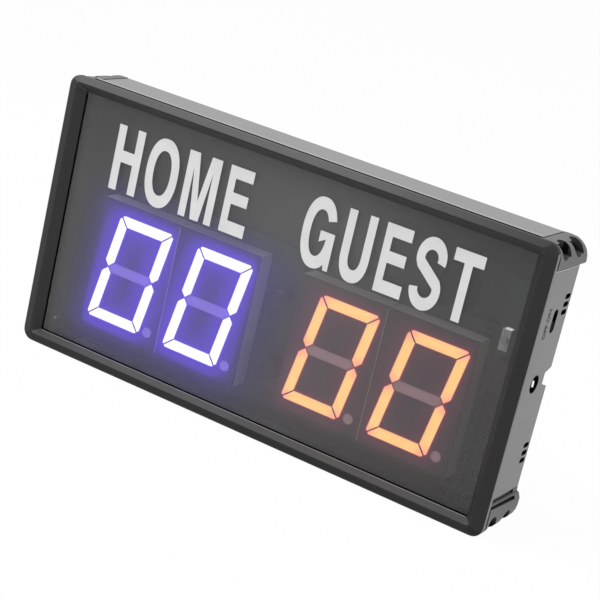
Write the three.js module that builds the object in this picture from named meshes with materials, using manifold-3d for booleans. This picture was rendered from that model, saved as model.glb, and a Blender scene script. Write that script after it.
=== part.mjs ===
// Electronic scoreboard: a crowned bezel and smoked panel in front of four LED digits,
// in a body of two rails, two end panels and four corner blocks, with a rear cover that
// carries the main board.
// Millimetres, X to the right, Y into the depth, Z up. Depths are measured back from the
// plane of the bezel's outer edge, and the finished group is moved so that the origin is
// the middle of the footprint.

import * as THREE from "three";
import { mergeVertices } from "three/addons/utils/BufferGeometryUtils.js";
import Module from "manifold-3d";

const wasm = await Module();
wasm.setup();

// Clearances
const fitGap = 0.3; // between neighbouring pieces
const screwGap = 0.2; // round a screw, a pin or a contact
const cutOverrun = 1; // how far a cutting tool runs past the wall that it cuts

// Bezel
const bezelWidth = 240;
const bezelHeight = 125;
const bezelCornerRadius = 5.1;
const bezelRimDepth = 2.1;
const bezelEdgeRadius = 0.7;
const crestRise = 2.1;
const crestFlat = 0.7;
const crestCornerRadius = 2.2;
const sideBevelWidth = 5;
const topBevelWidth = 2.8;
const bottomBevelWidth = 4.1; // its crest lies nearer to the panel than the top one
const innerSlopeWidth = 3.5;
const slopeFootDepth = 1.4;
const lipThickness = 0.3;
const openingCornerRadius = 0.5;

// Smoked panel
const panelThickness = 2;
const panelLap = 1;

// Body
const bodyTopDrop = 0.65; // the body's top below the bezel's
const railSink = 0.15; // rails below the faces of the corner blocks
const railThickness = 1.6;
const flangeThickness = 1.6;
const flangeDrop = 3.6;
const endPanelThickness = 1.8;
const endPanelInset = 0.6; // the end panel's face inside the bezel's edge
const endPanelSetback = 0.4; // its rear edge in front of the body's

// Corner blocks
const blockOverhang = 1.4; // the block's side at the rear, outside the bezel's edge
const blockFlare = 1.1; // how much less it stands out at the front
const blockFrontRadius = 5.6;
const topBlockRadius = 8.2; // at the rear
const bottomBlockRadius = 9.6;
const blockLength = 11.4; // along the rail
const topBlockHeight = 10.5; // down the end panel, its last part a ramp
const topRampHeight = 1.7;
const bottomBlockHeight = 15; // up the end panel, its last part a ramp
const bottomRampHeight = 2.7;
const topRampShares = [0.2, 0.35]; // where a ramp's surface bends, across and along it
const bottomRampShares = [0.45, 0.78];
const neckHeight = 1.5; // from a bottom block's ramp to the end panel
const neckSink = 0.9; // below the end panel's face
const blockTopWall = 2.4;
const blockSideWall = 4.4;
const blockFrontWall = 3.9;
const blockHollowRadius = 3.4;
const grooveLow = 0.4; // above the foot of the ramp
const grooveHeight = 1.5;
const grooveSink = 0.4; // below the end panel's face
const grooveEnd = 4.5; // in front of the block's rear
const ventWidth = 6.5;
const ventFirst = 5.2; // from the block's front to the first vent's middle on the side face
const ventPitchShare = 0.48; // of the block's depth
const ventSlant = 2.6; // how much further back its upper end lies
const ventReachTop = 7.5; // from the block's side face
const ventReachSide = 6.1; // from a top block's top face
const bottomVentReachSide = 8.5; // from a bottom block's lower face
const ventDepth = 5;
const tongueLength = 7;
const tongueThickness = 1.8;
const tongueMargin = 0.6; // between a tongue and the flanges beside it
const webThickness = 2;

// Long corner screws
const cornerScrewInset = 7; // from the block's side face
const cornerScrewDrop = 5.6; // from its top face
const cornerBossRadius = 2.6;
const cornerScrewRadius = 1.1;
const cornerScrewBite = 2.7; // into the bezel
const screwHeadRadius = 2.2;
const screwHeadHeight = 1.5;
const driveRadius = 1.1;
const driveDepth = 0.8;

// Rear cover
const coverInset = 3.9; // its rear face in front of the body's rear
const coverGap = 3; // behind the main board
const coverThickness = 1.8;
const coverCornerRadius = 4;
const keyholeSpanShare = 0.625; // of the bezel's width
const keyholeClearance = 2.4; // above the main board
const keyholeRadius = 4.6;
const keyholeSlotRadius = 2.2;
const keyholeRise = 9;
const coverSlitWidth = 2;
const coverSlitLength = 18;
const coverSlitPitch = 5;
const coverSlitCount = 5;
const coverSlitRise = 2; // above the buzzer's middle

// End panel openings
const gillLength = 5;
const gillWidth = 2.2;
const gillPitch = 3.4;
const gillCount = 3;
const gillInset = 3.7; // from the panel's rear edge
const gillMargin = 16; // from its upper and lower edge
const notchDepth = 5.3;
const notchRise = 0.9; // above the power inlet
const notchMouth = 8.2;
const notchFloor = 5;
const socketLift = 3.9; // the inlet's axis in front of the main board
const socketHoleRadius = 3.9;
const switchLift = 1.9; // the switch's axis in front of the main board
const switchDrop = 32.85; // below the body's top
const switchSlotLength = 10;
const switchSlotWidth = 4.2;

// Digits
const digitWidthShare = 0.1754; // of the bezel's width
const digitPairShare = 0.4417;
const digitHeightShare = 0.48; // of the bezel's height
const digitMiddleShare = 0.36;
const digitFrontDepth = 7;
const faceThickness = 0.8;
const segmentRise = 0.3;
const housingThickness = 9.5;
const reflectorInset = 0.45; // a reflector's window inside its segment
const figureHeightShare = 0.8267; // of a digit's height
const figureWidthShare = 0.689; // of a digit's width
const figureShift = 0.45; // right of the digit's middle
const segmentWidth = 4.7;
const segmentGap = 0.5;
const segmentCut = 1.5; // chamfer of the figure's outer corners
const pointRadius = 2.35;
const pointOffsetShare = 0.354; // of a digit's width
const pointDropShare = 0.37; // of a digit's height
const slantShare = 0.167;
const ledBoardThickness = 1;
const ledPocketWall = 1.5;
const ledPocketDepth = 1.5;
const pinWidth = 0.7;
const pinPitch = 5.08;
const pinCount = 5;
const pinRowInset = 6; // from a digit's upper and lower edge
const pinTail = 1.4; // behind the main board

// Main board
const boardThickness = 1.6;
const boardSideInset = 22; // from the bezel's edge
const boardMargin = 6; // above and below the digits
const tabInset = 6.6; // from the end panel's face
const tabMargin = 4; // above the switch and below the inlet
const switchNotchGap = 1.1;
const boardScrewSideInset = 4;
const boardScrewInset = 3;
const boardBossRadius = 2.8;
const boardScrewRadius = 1;
const boardScrewBite = 3.6;
const boardHeadRadius = 1.9;
const boardHeadHeight = 1.2;
const boardDriveRadius = 0.9;

// Parts on the board
const socketBodyLength = 14.3;
const socketBodyHeight = 11;
const socketBodyDepth = 8.2;
const socketBoreRadius = 3.25;
const socketBoreLength = 12;
const socketPinRadius = 1.05;
const socketPinRecess = 2.6;
const socketPinTail = 0.5;
const switchBodyLength = 14.4;
const switchBodyWidth = 9.2;
const switchBodyDepth = 6;
const switchFlangeReach = 2.4;
const switchFlangeThickness = 1.4;
const switchChannelLength = 10.6;
const switchChannelReach = 7;
const sliderWidth = 3;
const sliderTravel = 4.4;
const carriageEndGap = 0.5;
const knobEndGap = 0.9; // clears the round ends of the panel's slot
const knobRecess = 0.2;
const receiverInset = 14.8; // from the end panel's face
const receiverSwitchGap = 0.5;
const receiverSocketGap = 4.4;
const receiverWidth = 4;
const receiverLength = 9;
const receiverBody = 4.6;
const receiverFront = 8.2;
const receiverLensRadius = 1.5;
const receiverLensRise = 1;
const receiverLegWidth = 0.8;
const receiverLegPitch = 2.54;
const receiverLegCount = 3;
const buzzerRadius = 6;
const buzzerHeight = 7.4;
const buzzerHole = 1;
const buzzerHoleDepth = 2;
const buzzerDrop = 17; // below the digits' middle
const capacitorRadius = 3.15;
const capacitorHeight = 7.6;
const capacitorRise = 15; // above the digits' middle
const capacitorRim = 0.5;
const capacitorRimInset = 0.4;
const crystalLength = 11;
const crystalWidth = 4.4;
const crystalThickness = 1.5;
const crystalDrop = 15; // below the digits' middle
const controllerSide = 10;
const controllerThickness = 1.4;
const controllerRise = 7; // above the digits' middle
const driverLength = 15.4;
const driverWidth = 7.4;
const driverThickness = 1.5;
const leadReach = 1.2;
const leadWidth = 0.5;
const leadPitch = 1.27;
const leadThickness = 0.4;
const controllerLeads = 6;
const driverLeads = 10;

// Turning steps
const cornerSteps = 6;
const roundSteps = 16;
const bigRoundSteps = 24;
const quarterTurn = Math.PI / 2;

// Bezel, panel and body, worked out from the sizes above
const halfBezel = bezelWidth / 2;
const openingHalf = halfBezel - sideBevelWidth - innerSlopeWidth;
const openingLow = topBevelWidth + innerSlopeWidth;
const openingHigh = bezelHeight - openingLow;
const panelHalf = openingHalf + panelLap;
const panelLow = openingLow - panelLap;
const panelHigh = openingHigh + panelLap;
const panelFront = slopeFootDepth + lipThickness + fitGap;
const panelRear = panelFront + panelThickness;
const digitRear = digitFrontDepth + faceThickness + fitGap + housingThickness;
const boardFront = digitRear + fitGap;
const boardRear = boardFront + boardThickness;
const partSeat = boardFront - fitGap;
const rearPartSeat = boardRear + fitGap;
const coverFront = boardRear + coverGap;
const coverRear = coverFront + coverThickness;
const seatRear = coverFront - fitGap;
const bodyFront = bezelRimDepth + fitGap;
const bodyDepth = coverRear + coverInset;
const bodyTop = bezelHeight - bodyTopDrop;
const blockSide = halfBezel + blockOverhang;
const blockEnd = blockSide - blockLength;
const blockInner = blockSide - blockSideWall;
const blockHollow = bodyFront + blockFrontWall;
const ventPitch = (bodyDepth - bodyFront) * ventPitchShare;
const endPanelOuter = halfBezel - endPanelInset;
const endPanelInner = endPanelOuter - endPanelThickness;
const endPanelLow = bottomBlockHeight + neckHeight + fitGap;
const endPanelHigh = bodyTop - topBlockHeight - fitGap;
const endPanelRear = bodyDepth - endPanelSetback;
const endPanelStep = blockSide - endPanelOuter;
const railHalf = blockEnd - fitGap;
const railDepth = railSink + railThickness;
const flangeFront = panelRear + fitGap;

// Digits and board, worked out from the sizes above
const digitWidth = bezelWidth * digitWidthShare;
const digitHeight = bezelHeight * digitHeightShare;
const digitPitch = digitWidth + fitGap;
const digitPairSpan = bezelWidth * digitPairShare;
const digitMiddleHeight = bezelHeight * digitMiddleShare;
const figureWidth = digitWidth * figureWidthShare;
const figureHeight = digitHeight * figureHeightShare;
const pinRowSpan = digitHeight - 2 * pinRowInset;
const boardHalfWidth = halfBezel - boardSideInset;
const boardLow = digitMiddleHeight - digitHeight / 2 - boardMargin;
const boardHigh = digitMiddleHeight + digitHeight / 2 + boardMargin;
const switchDepth = boardFront - switchLift;
const switchHeight = bodyTop - switchDrop;
const receiverMiddle = endPanelOuter - receiverInset;
const receiverHeight =
  switchHeight - switchBodyLength / 2 - receiverSwitchGap - receiverLength / 2;
const socketDepth = partSeat - socketLift;
const socketHeight =
  receiverHeight - receiverLength / 2 - receiverSocketGap - socketBodyHeight / 2;
const socketMouth = endPanelInner - fitGap;
const switchFace = socketMouth - fitGap;
const tabRight = endPanelOuter - tabInset;
const tabLow = socketHeight - socketBodyHeight / 2 - tabMargin;
const tabHigh = switchHeight + switchBodyLength / 2 + tabMargin;
const buzzerMiddle = digitMiddleHeight - buzzerDrop;
const keyholeHeight = boardHigh + keyholeClearance + keyholeRadius;

// A manifold solid of a closed geometry.
function solidOf(geometry) {
  const bare = geometry.clone();
  bare.deleteAttribute("normal");
  bare.deleteAttribute("uv");
  const merged = mergeVertices(bare);
  return new wasm.Manifold(
    new wasm.Mesh({
      numProp: 3,
      vertProperties: Float32Array.from(merged.attributes.position.array),
      triVerts: Uint32Array.from(merged.index.array),
    }),
  );
}

// A geometry of a manifold solid, flat shaded.
function geometryOf(solid) {
  const mesh = solid.getMesh();
  const shared = new THREE.BufferGeometry();
  const count = mesh.numVert;
  const positions = new Float32Array(count * 3);
  for (let index = 0; index < count; index++) {
    const start = index * mesh.numProp;
    positions.set(mesh.vertProperties.subarray(start, start + 3), index * 3);
  }
  shared.setAttribute("position", new THREE.BufferAttribute(positions, 3));
  shared.setIndex(new THREE.BufferAttribute(mesh.triVerts, 1));
  const flat = shared.toNonIndexed();
  flat.computeVertexNormals();
  return flat;
}

function joined(base, ...others) {
  return others.reduce((sum, other) => sum.add(other), base);
}

function cut(base, ...tools) {
  return tools.reduce((rest, tool) => rest.subtract(tool), base);
}

// A box between two corners, in either order.
function boxSolid(from, to) {
  const size = from.map((value, axis) => Math.abs(to[axis] - value));
  const middle = from.map((value, axis) => (to[axis] + value) / 2);
  const geometry = new THREE.BoxGeometry(...size);
  geometry.translate(...middle);
  return solidOf(geometry);
}

// Which way an outline's two coordinates and its thickness run.
const planes = {
  front: [new THREE.Vector3(1, 0, 0), new THREE.Vector3(0, 0, 1), new THREE.Vector3(0, -1, 0)],
  side: [new THREE.Vector3(0, 1, 0), new THREE.Vector3(0, 0, 1), new THREE.Vector3(1, 0, 0)],
  top: [new THREE.Vector3(1, 0, 0), new THREE.Vector3(0, 1, 0), new THREE.Vector3(0, 0, 1)],
};

// An outline of points in a plane, made thick from one level to another across it.
function slabSolid(plane, outline, from, to) {
  const shape = new THREE.Shape(outline.map(([across, up]) => new THREE.Vector2(across, up)));
  const low = Math.min(from, to);
  const high = Math.max(from, to);
  const geometry = new THREE.ExtrudeGeometry(shape, { depth: high - low, bevelEnabled: false });
  const [across, up, through] = planes[plane];
  geometry.applyMatrix4(new THREE.Matrix4().makeBasis(across, up, through));
  const start = plane === "front" ? high : low;
  const shift = new THREE.Vector3(Math.abs(through.x), Math.abs(through.y), Math.abs(through.z));
  geometry.translate(...shift.multiplyScalar(start).toArray());
  return solidOf(geometry);
}

// Points of an arc, from one angle to another.
function arcPoints(middle, radius, from, to, steps) {
  return Array.from({ length: steps + 1 }, (_, step) => {
    const angle = from + ((to - from) * step) / steps;
    return [middle[0] + radius * Math.cos(angle), middle[1] + radius * Math.sin(angle)];
  });
}

function circleOutline(middle, radius, steps = roundSteps) {
  return arcPoints(middle, radius, 0, 4 * quarterTurn, steps).slice(0, -1);
}

// A rounded rectangle's outline, anticlockwise from the upper right corner.
function roundedOutline(left, right, low, high, radius) {
  const middles = [
    [right - radius, high - radius],
    [left + radius, high - radius],
    [left + radius, low + radius],
    [right - radius, low + radius],
  ];
  return middles.flatMap((middle, quarter) =>
    arcPoints(middle, radius, quarter * quarterTurn, (quarter + 1) * quarterTurn, cornerSteps),
  );
}

// A slot's outline between the middles of its two round ends.
function slotOutline(start, end, radius) {
  const heading = Math.atan2(end[1] - start[1], end[0] - start[0]);
  const halfSteps = roundSteps / 2;
  return [
    ...arcPoints(end, radius, heading - quarterTurn, heading + quarterTurn, halfSteps),
    ...arcPoints(start, radius, heading + quarterTurn, heading + 3 * quarterTurn, halfSteps),
  ];
}

// Triangles between two rings of equally many points, from their first points on.
function bandTriangles(here, next, count) {
  return Array.from({ length: count }, (_, point) => {
    const following = (point + 1) % count;
    return [
      [here + point, next + following, next + point],
      [here + point, here + following, next + following],
    ].flat();
  }).flat();
}

// A solid of rings, each an outline at one depth, and of its triangles.
function ringedSolid(rings, triangles) {
  const positions = rings.flatMap(({ outline, depth }) =>
    outline.flatMap(([across, up]) => [across, depth, up]),
  );
  const geometry = new THREE.BufferGeometry();
  geometry.setAttribute("position", new THREE.Float32BufferAttribute(positions, 3));
  geometry.setIndex(triangles);
  return solidOf(geometry);
}

// A frame whose section runs through all the rings and back to the first one.
function frameSolid(rings) {
  const count = rings[0].outline.length;
  const triangles = rings.flatMap((_, ring) =>
    bandTriangles(ring * count, ((ring + 1) % rings.length) * count, count),
  );
  return ringedSolid(rings, triangles);
}

// A solid between an outline at the front and one at the rear.
function loftSolid(frontOutline, frontDepth, rearOutline, rearDepth) {
  const points = frontOutline.map(([across, up]) => new THREE.Vector2(across, up));
  const isTurned = THREE.ShapeUtils.isClockWise(points);
  const ordered = (outline) => (isTurned ? [...outline].reverse() : outline);
  const count = points.length;
  const caps = THREE.ShapeUtils.triangulateShape(ordered(points), []);
  const rings = [
    { outline: ordered(rearOutline), depth: rearDepth },
    { outline: ordered(frontOutline), depth: frontDepth },
  ];
  const triangles = [
    ...bandTriangles(0, count, count),
    ...caps.flatMap(([first, second, third]) => [third, second, first]),
    ...caps.flatMap((cap) => cap.map((point) => point + count)),
  ];
  return ringedSolid(rings, triangles);
}

// The four long screws' places, as signs to the right and up.
const cornerSigns = [
  [-1, 1],
  [1, 1],
  [-1, -1],
  [1, -1],
];

function cornerScrewPlace([right, up]) {
  const height = up > 0 ? bodyTop - cornerScrewDrop : cornerScrewDrop;
  return [right * (blockSide - cornerScrewInset), height];
}

// The bezel: a bevel outside, a slope inside and a narrow flat crest between them.
function bezelSolid() {
  const inset = (side, bottom, top, radius) =>
    roundedOutline(-halfBezel + side, halfBezel - side, bottom, bezelHeight - top, radius);
  const crest = (inward) =>
    inset(
      sideBevelWidth + inward,
      bottomBevelWidth + inward,
      topBevelWidth + inward,
      crestCornerRadius - Math.max(inward, 0),
    );
  const outer = inset(0, 0, 0, bezelCornerRadius);
  const edgeRadius = bezelCornerRadius - bezelEdgeRadius;
  const edge = inset(bezelEdgeRadius, bezelEdgeRadius, bezelEdgeRadius, edgeRadius);
  const crestOuter = crest(-crestFlat / 2);
  const crestInner = crest(crestFlat / 2);
  const opening = roundedOutline(
    -openingHalf,
    openingHalf,
    openingLow,
    openingHigh,
    openingCornerRadius,
  );
  const rebate = roundedOutline(
    -panelHalf - fitGap,
    panelHalf + fitGap,
    panelLow - fitGap,
    panelHigh + fitGap,
    openingCornerRadius,
  );
  const lipRear = slopeFootDepth + lipThickness;
  const frame = frameSolid([
    { outline: outer, depth: bezelRimDepth },
    { outline: outer, depth: 0 },
    { outline: edge, depth: -bezelEdgeRadius },
    { outline: crestOuter, depth: -crestRise },
    { outline: crestInner, depth: -crestRise },
    { outline: opening, depth: slopeFootDepth },
    { outline: opening, depth: lipRear },
    { outline: rebate, depth: lipRear },
    { outline: rebate, depth: bezelRimDepth },
  ]);
  const holes = cornerSigns.map((signs) =>
    slabSolid(
      "front",
      circleOutline(cornerScrewPlace(signs), cornerScrewRadius + screwGap),
      bezelRimDepth - cornerScrewBite,
      bezelRimDepth + cutOverrun,
    ),
  );
  return cut(frame, ...holes);
}

function smokedPanelSolid() {
  const outline = roundedOutline(-panelHalf, panelHalf, panelLow, panelHigh, openingCornerRadius);
  return slabSolid("front", outline, panelFront, panelRear);
}

// A rail: an outer wall with two flanges on its inner side. The bottom rail is the top
// rail turned over.
function railSolid(up) {
  const face = up > 0 ? bodyTop - railSink : railSink;
  const level = (drop) => face - up * drop;
  const wall = boxSolid(
    [-railHalf, bodyFront, level(0)],
    [railHalf, bodyDepth, level(railThickness)],
  );
  const flange = (front) =>
    boxSolid(
      [-railHalf, front, level(0)],
      [railHalf, front + flangeThickness, level(railThickness + flangeDrop)],
    );
  return joined(wall, flange(flangeFront), flange(seatRear - flangeThickness));
}

// An end panel with its gills and its rear notch; the right one also has the ports.
function endPanelSolid(right, withPorts) {
  const inner = right * endPanelInner;
  const outer = right * endPanelOuter;
  const past = right * cutOverrun;
  const opening = (outline) => slabSolid("side", outline, inner - past, outer + past);
  const plate = boxSolid([inner, bodyFront, endPanelLow], [outer, endPanelRear, endPanelHigh]);
  const gillHalf = gillLength / 2 - gillWidth / 2;
  const gillDepth = endPanelRear - gillInset;
  const gills = [endPanelHigh - gillMargin, endPanelLow + gillMargin].flatMap((middle) =>
    Array.from({ length: gillCount }, (_, row) => {
      const height = middle + (row - (gillCount - 1) / 2) * gillPitch;
      const start = [gillDepth - gillHalf, height];
      const end = [gillDepth + gillHalf, height];
      return opening(slotOutline(start, end, gillWidth / 2));
    }),
  );
  const notchHeight = socketHeight + notchRise;
  const notch = opening([
    [endPanelRear - notchDepth, notchHeight - notchFloor / 2],
    [endPanelRear, notchHeight - notchMouth / 2],
    [endPanelRear + cutOverrun, notchHeight - notchMouth / 2],
    [endPanelRear + cutOverrun, notchHeight + notchMouth / 2],
    [endPanelRear, notchHeight + notchMouth / 2],
    [endPanelRear - notchDepth, notchHeight + notchFloor / 2],
  ]);
  const panel = cut(plate, notch, ...gills);
  if (!withPorts) {
    return panel;
  }
  const slotHalf = switchSlotLength / 2 - switchSlotWidth / 2;
  const switchSlot = slotOutline(
    [switchDepth, switchHeight - slotHalf],
    [switchDepth, switchHeight + slotHalf],
    switchSlotWidth / 2,
  );
  const socketHole = circleOutline([socketDepth, socketHeight], socketHoleRadius, bigRoundSteps);
  return cut(panel, opening(switchSlot), opening(socketHole));
}

// A block's outline as distances in from its side and down from its top or bottom face.
function blockOutline(isTop, flare, radius) {
  const height = isTop ? topBlockHeight : bottomBlockHeight;
  const rampHeight = isTop ? topRampHeight : bottomRampHeight;
  const [acrossShare, alongShare] = isTop ? topRampShares : bottomRampShares;
  const foot = height - rampHeight;
  const round = arcPoints(
    [radius + flare, radius],
    radius,
    2 * quarterTurn,
    3 * quarterTurn,
    cornerSteps,
  );
  const ramp = [
    [endPanelStep, height],
    [flare + acrossShare * (endPanelStep - flare), foot + alongShare * rampHeight],
    [flare, foot],
  ];
  if (isTop) {
    return [...round, [blockLength, 0], [blockLength, height], ...ramp];
  }
  const neck = [
    [blockLength, foot],
    [blockSideWall, foot],
    [blockSideWall, height + neckHeight],
    [endPanelStep, height + neckHeight],
  ];
  return [...round, [blockLength, 0], ...neck, ...ramp];
}

// One corner block, modelled as a shell that is open towards the inside and the rear.
// The distances in and down are measured from its side face and from its top or bottom.
function cornerBlockSolid(right, up) {
  const isTop = up > 0;
  const place = (inward, down) => [
    right * (blockSide - inward),
    isTop ? bodyTop - down : down,
  ];
  const fullHeight = isTop ? topBlockHeight : bottomBlockHeight - bottomRampHeight;
  const placed = (points) => points.map(([inward, down]) => place(inward, down));
  const box = (from, to, front, rear) => {
    const [lowX, lowZ] = place(...from);
    const [highX, highZ] = place(...to);
    return boxSolid([lowX, front, lowZ], [highX, rear, highZ]);
  };
  const rearRadius = isTop ? topBlockRadius : bottomBlockRadius;
  const body = loftSolid(
    placed(blockOutline(isTop, blockFlare, blockFrontRadius)),
    bodyFront,
    placed(blockOutline(isTop, 0, rearRadius)),
    bodyDepth,
  );
  const farInward = blockLength + cutOverrun;
  const farDown = fullHeight + cutOverrun;
  const hollowRound = arcPoints(
    [blockSideWall + blockHollowRadius, blockTopWall + blockHollowRadius],
    blockHollowRadius,
    2 * quarterTurn,
    3 * quarterTurn,
    cornerSteps,
  );
  const hollowOutline = [
    ...hollowRound,
    [farInward, blockTopWall],
    [farInward, farDown],
    [blockSideWall, farDown],
  ];
  const hollow = slabSolid("front", placed(hollowOutline), blockHollow, bodyDepth + cutOverrun);
  const vents = [0, 1].flatMap((row) => ventTools(right, up, bodyFront + ventFirst + row * ventPitch));
  const panelRoom = box(
    [blockSide - panelHalf - fitGap, (isTop ? bodyTop - panelHigh : panelLow) - fitGap],
    [farInward, farDown],
    bodyFront - cutOverrun,
    flangeFront,
  );
  const shell = cut(body, hollow, panelRoom, ...vents);
  const boss = slabSolid(
    "front",
    circleOutline(place(cornerScrewInset, cornerScrewDrop), cornerBossRadius),
    blockHollow - cutOverrun,
    seatRear,
  );
  const ventMiddle = bodyFront + ventFirst + ventPitch / 2;
  const webFront = ventMiddle + ventSlant / 2 - webThickness / 2;
  const web = box(
    [blockSideWall - cutOverrun, blockTopWall - cutOverrun],
    [cornerScrewInset, cornerScrewDrop],
    webFront,
    webFront + webThickness,
  );
  const tongueFront = flangeFront + flangeThickness + tongueMargin;
  const tongueRear = seatRear - flangeThickness - tongueMargin;
  const railTongue = box(
    [cornerScrewInset, railDepth + fitGap],
    [blockLength + tongueLength, railDepth + fitGap + tongueThickness],
    tongueFront,
    tongueRear,
  );
  const panelDepth = blockSide - endPanelInner + fitGap;
  const tongueTip = (isTop ? topBlockHeight : bottomBlockHeight + neckHeight) + tongueLength;
  const panelTongue = box(
    [panelDepth, cornerScrewDrop],
    [panelDepth + tongueThickness, tongueTip],
    blockHollow - cutOverrun,
    tongueFront + tongueThickness,
  );
  const screwHole = slabSolid(
    "front",
    circleOutline(place(cornerScrewInset, cornerScrewDrop), cornerScrewRadius + screwGap),
    bodyFront - cutOverrun,
    bodyDepth,
  );
  const whole = cut(joined(shell, boss, web, railTongue, panelTongue), screwHole);
  return isTop ? whole : cut(whole, ...grooveTools(box));
}

// The cutters of one vent, which runs over the block's round corner.
function ventTools(right, up, depth) {
  const radius = ventWidth / 2;
  const face = up > 0 ? bodyTop : 0;
  const reach = (up > 0 ? ventReachSide : bottomVentReachSide) - radius;
  const side = right * blockSide;
  const beyond = right * (blockSide + radius);
  const sideSlot = slotOutline(
    [depth, face - up * reach],
    [depth, face + up * radius],
    radius,
  );
  const topSlot = slotOutline(
    [right * (blockSide - ventReachTop + radius), depth + ventSlant],
    [beyond, depth],
    radius,
  );
  return [
    slabSolid("side", sideSlot, side - right * ventDepth, side + right * cutOverrun),
    slabSolid("top", topSlot, face - up * ventDepth, face + up * cutOverrun),
  ];
}

// The groove in the ramp of a bottom block and the one between ramp and end panel.
function grooveTools(box) {
  const groove = (low, height, sink) =>
    box(
      [-cutOverrun, low],
      [endPanelStep + sink, low + height],
      bodyFront - cutOverrun,
      bodyDepth - grooveEnd,
    );
  const rampFoot = bottomBlockHeight - bottomRampHeight;
  return [
    groove(rampFoot + grooveLow, grooveHeight, grooveSink),
    groove(bottomBlockHeight, neckHeight + fitGap, neckSink),
  ];
}

const boardScrewPlaces = cornerSigns.map(([right, up]) => [
  right * (boardHalfWidth - boardScrewSideInset),
  up > 0 ? boardHigh - boardScrewInset : boardLow + boardScrewInset,
]);

// The rear cover with board bosses, keyholes for hanging and slits behind the buzzer.
function rearCoverSolid() {
  const half = blockInner - fitGap;
  const low = blockTopWall + fitGap;
  const high = bodyTop - blockTopWall - fitGap;
  const sheet = slabSolid(
    "front",
    roundedOutline(-half, half, low, high, coverCornerRadius),
    coverFront,
    coverRear,
  );
  const through = (outline) =>
    slabSolid("front", outline, coverFront - cutOverrun, coverRear + cutOverrun);
  const bosses = boardScrewPlaces.map((place) =>
    slabSolid("front", circleOutline(place, boardBossRadius), boardRear + fitGap, coverRear),
  );
  const bossHoles = boardScrewPlaces.map((place) =>
    slabSolid(
      "front",
      circleOutline(place, boardScrewRadius + screwGap),
      boardRear,
      boardFront + boardScrewBite + boardThickness,
    ),
  );
  const screwHoles = cornerSigns.map((signs) =>
    through(circleOutline(cornerScrewPlace(signs), cornerScrewRadius + screwGap)),
  );
  const keyholes = [-1, 1].flatMap((side) => {
    const place = [(side * bezelWidth * keyholeSpanShare) / 2, keyholeHeight];
    const top = [place[0], place[1] + keyholeRise];
    return [
      through(circleOutline(place, keyholeRadius, bigRoundSteps)),
      through(slotOutline(place, top, keyholeSlotRadius)),
    ];
  });
  const slits = Array.from({ length: coverSlitCount }, (_, row) => {
    const fromMiddle = (row - (coverSlitCount - 1) / 2) * coverSlitPitch;
    const height = buzzerMiddle + coverSlitRise + fromMiddle;
    const half = (coverSlitLength - coverSlitWidth) / 2;
    return through(slotOutline([-half, height], [half, height], coverSlitWidth / 2));
  });
  return cut(joined(sheet, ...bosses), ...bossHoles, ...screwHoles, ...keyholes, ...slits);
}

// A pan-head screw along the depth, with its head at the rear or at the front.
function screwSolid(place, seat, tip, radius, headRadius, headHeight, recessRadius) {
  const headEnd = seat + Math.sign(seat - tip) * headHeight;
  const recess = seat + Math.sign(seat - tip) * (headHeight - driveDepth);
  const shank = slabSolid("front", circleOutline(place, radius), tip, (seat + headEnd) / 2);
  const head = slabSolid("front", circleOutline(place, headRadius, bigRoundSteps), seat, headEnd);
  const past = headEnd + Math.sign(seat - tip) * cutOverrun;
  const arm = recessRadius / 3;
  const [across, up] = place;
  const crossArms = [
    boxSolid([across - recessRadius, recess, up - arm], [across + recessRadius, past, up + arm]),
    boxSolid([across - arm, recess, up - recessRadius], [across + arm, past, up + recessRadius]),
  ];
  return cut(joined(shank, head), ...crossArms);
}

function cornerScrewSolid(signs) {
  return screwSolid(
    cornerScrewPlace(signs),
    coverRear + screwGap,
    bezelRimDepth - cornerScrewBite + fitGap,
    cornerScrewRadius,
    screwHeadRadius,
    screwHeadHeight,
    driveRadius,
  );
}

function boardScrewSolid(place) {
  return screwSolid(
    place,
    boardFront - screwGap,
    boardFront + boardScrewBite,
    boardScrewRadius,
    boardHeadRadius,
    boardHeadHeight,
    boardDriveRadius,
  );
}

// The middles of the four digits along the board.
const digitMiddles = [-1, 1].flatMap((side) =>
  [-1, 1].map((half) => (side * digitPairSpan) / 2 + (half * digitPitch) / 2),
);

// The seven segments as outlines round the figure's middle, before it is slanted.
function segmentOutlines(shrink) {
  const outX = figureWidth / 2;
  const outZ = figureHeight / 2;
  const inX = outX - segmentWidth;
  const inZ = outZ - segmentWidth;
  const half = segmentWidth / 2;
  const gap = segmentGap / 2 + shrink;
  const near = gap * Math.SQRT2;
  const across = (side) => [
    [-outX + segmentCut + near, side * (outZ - shrink)],
    [outX - segmentCut - near, side * (outZ - shrink)],
    [outX - segmentCut / 2 - near, side * (outZ - segmentCut / 2)],
    [inX, side * (inZ + shrink)],
    [-inX, side * (inZ + shrink)],
    [-outX + segmentCut / 2 + near, side * (outZ - segmentCut / 2)],
  ];
  const upright = (side, up) => [
    [side * (outX - shrink), up * (outZ - segmentCut - near)],
    [side * (outX - segmentCut / 2), up * (outZ - segmentCut / 2 - near)],
    [side * (inX + shrink), up * (inZ - near)],
    [side * (inX + shrink), up * (half + near - shrink)],
    [side * (outX - half), up * near],
    [side * (outX - shrink), up * (half + near - shrink)],
  ];
  const tip = outX - half - near;
  const shoulder = half - shrink;
  const middle = [
    [-tip, 0],
    [-tip + shoulder, shoulder],
    [tip - shoulder, shoulder],
    [tip, 0],
    [tip - shoulder, -shoulder],
    [-tip + shoulder, -shoulder],
  ];
  return [across(1), across(-1), upright(1, 1), upright(-1, 1), upright(1, -1), upright(-1, -1), middle];
}

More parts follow.
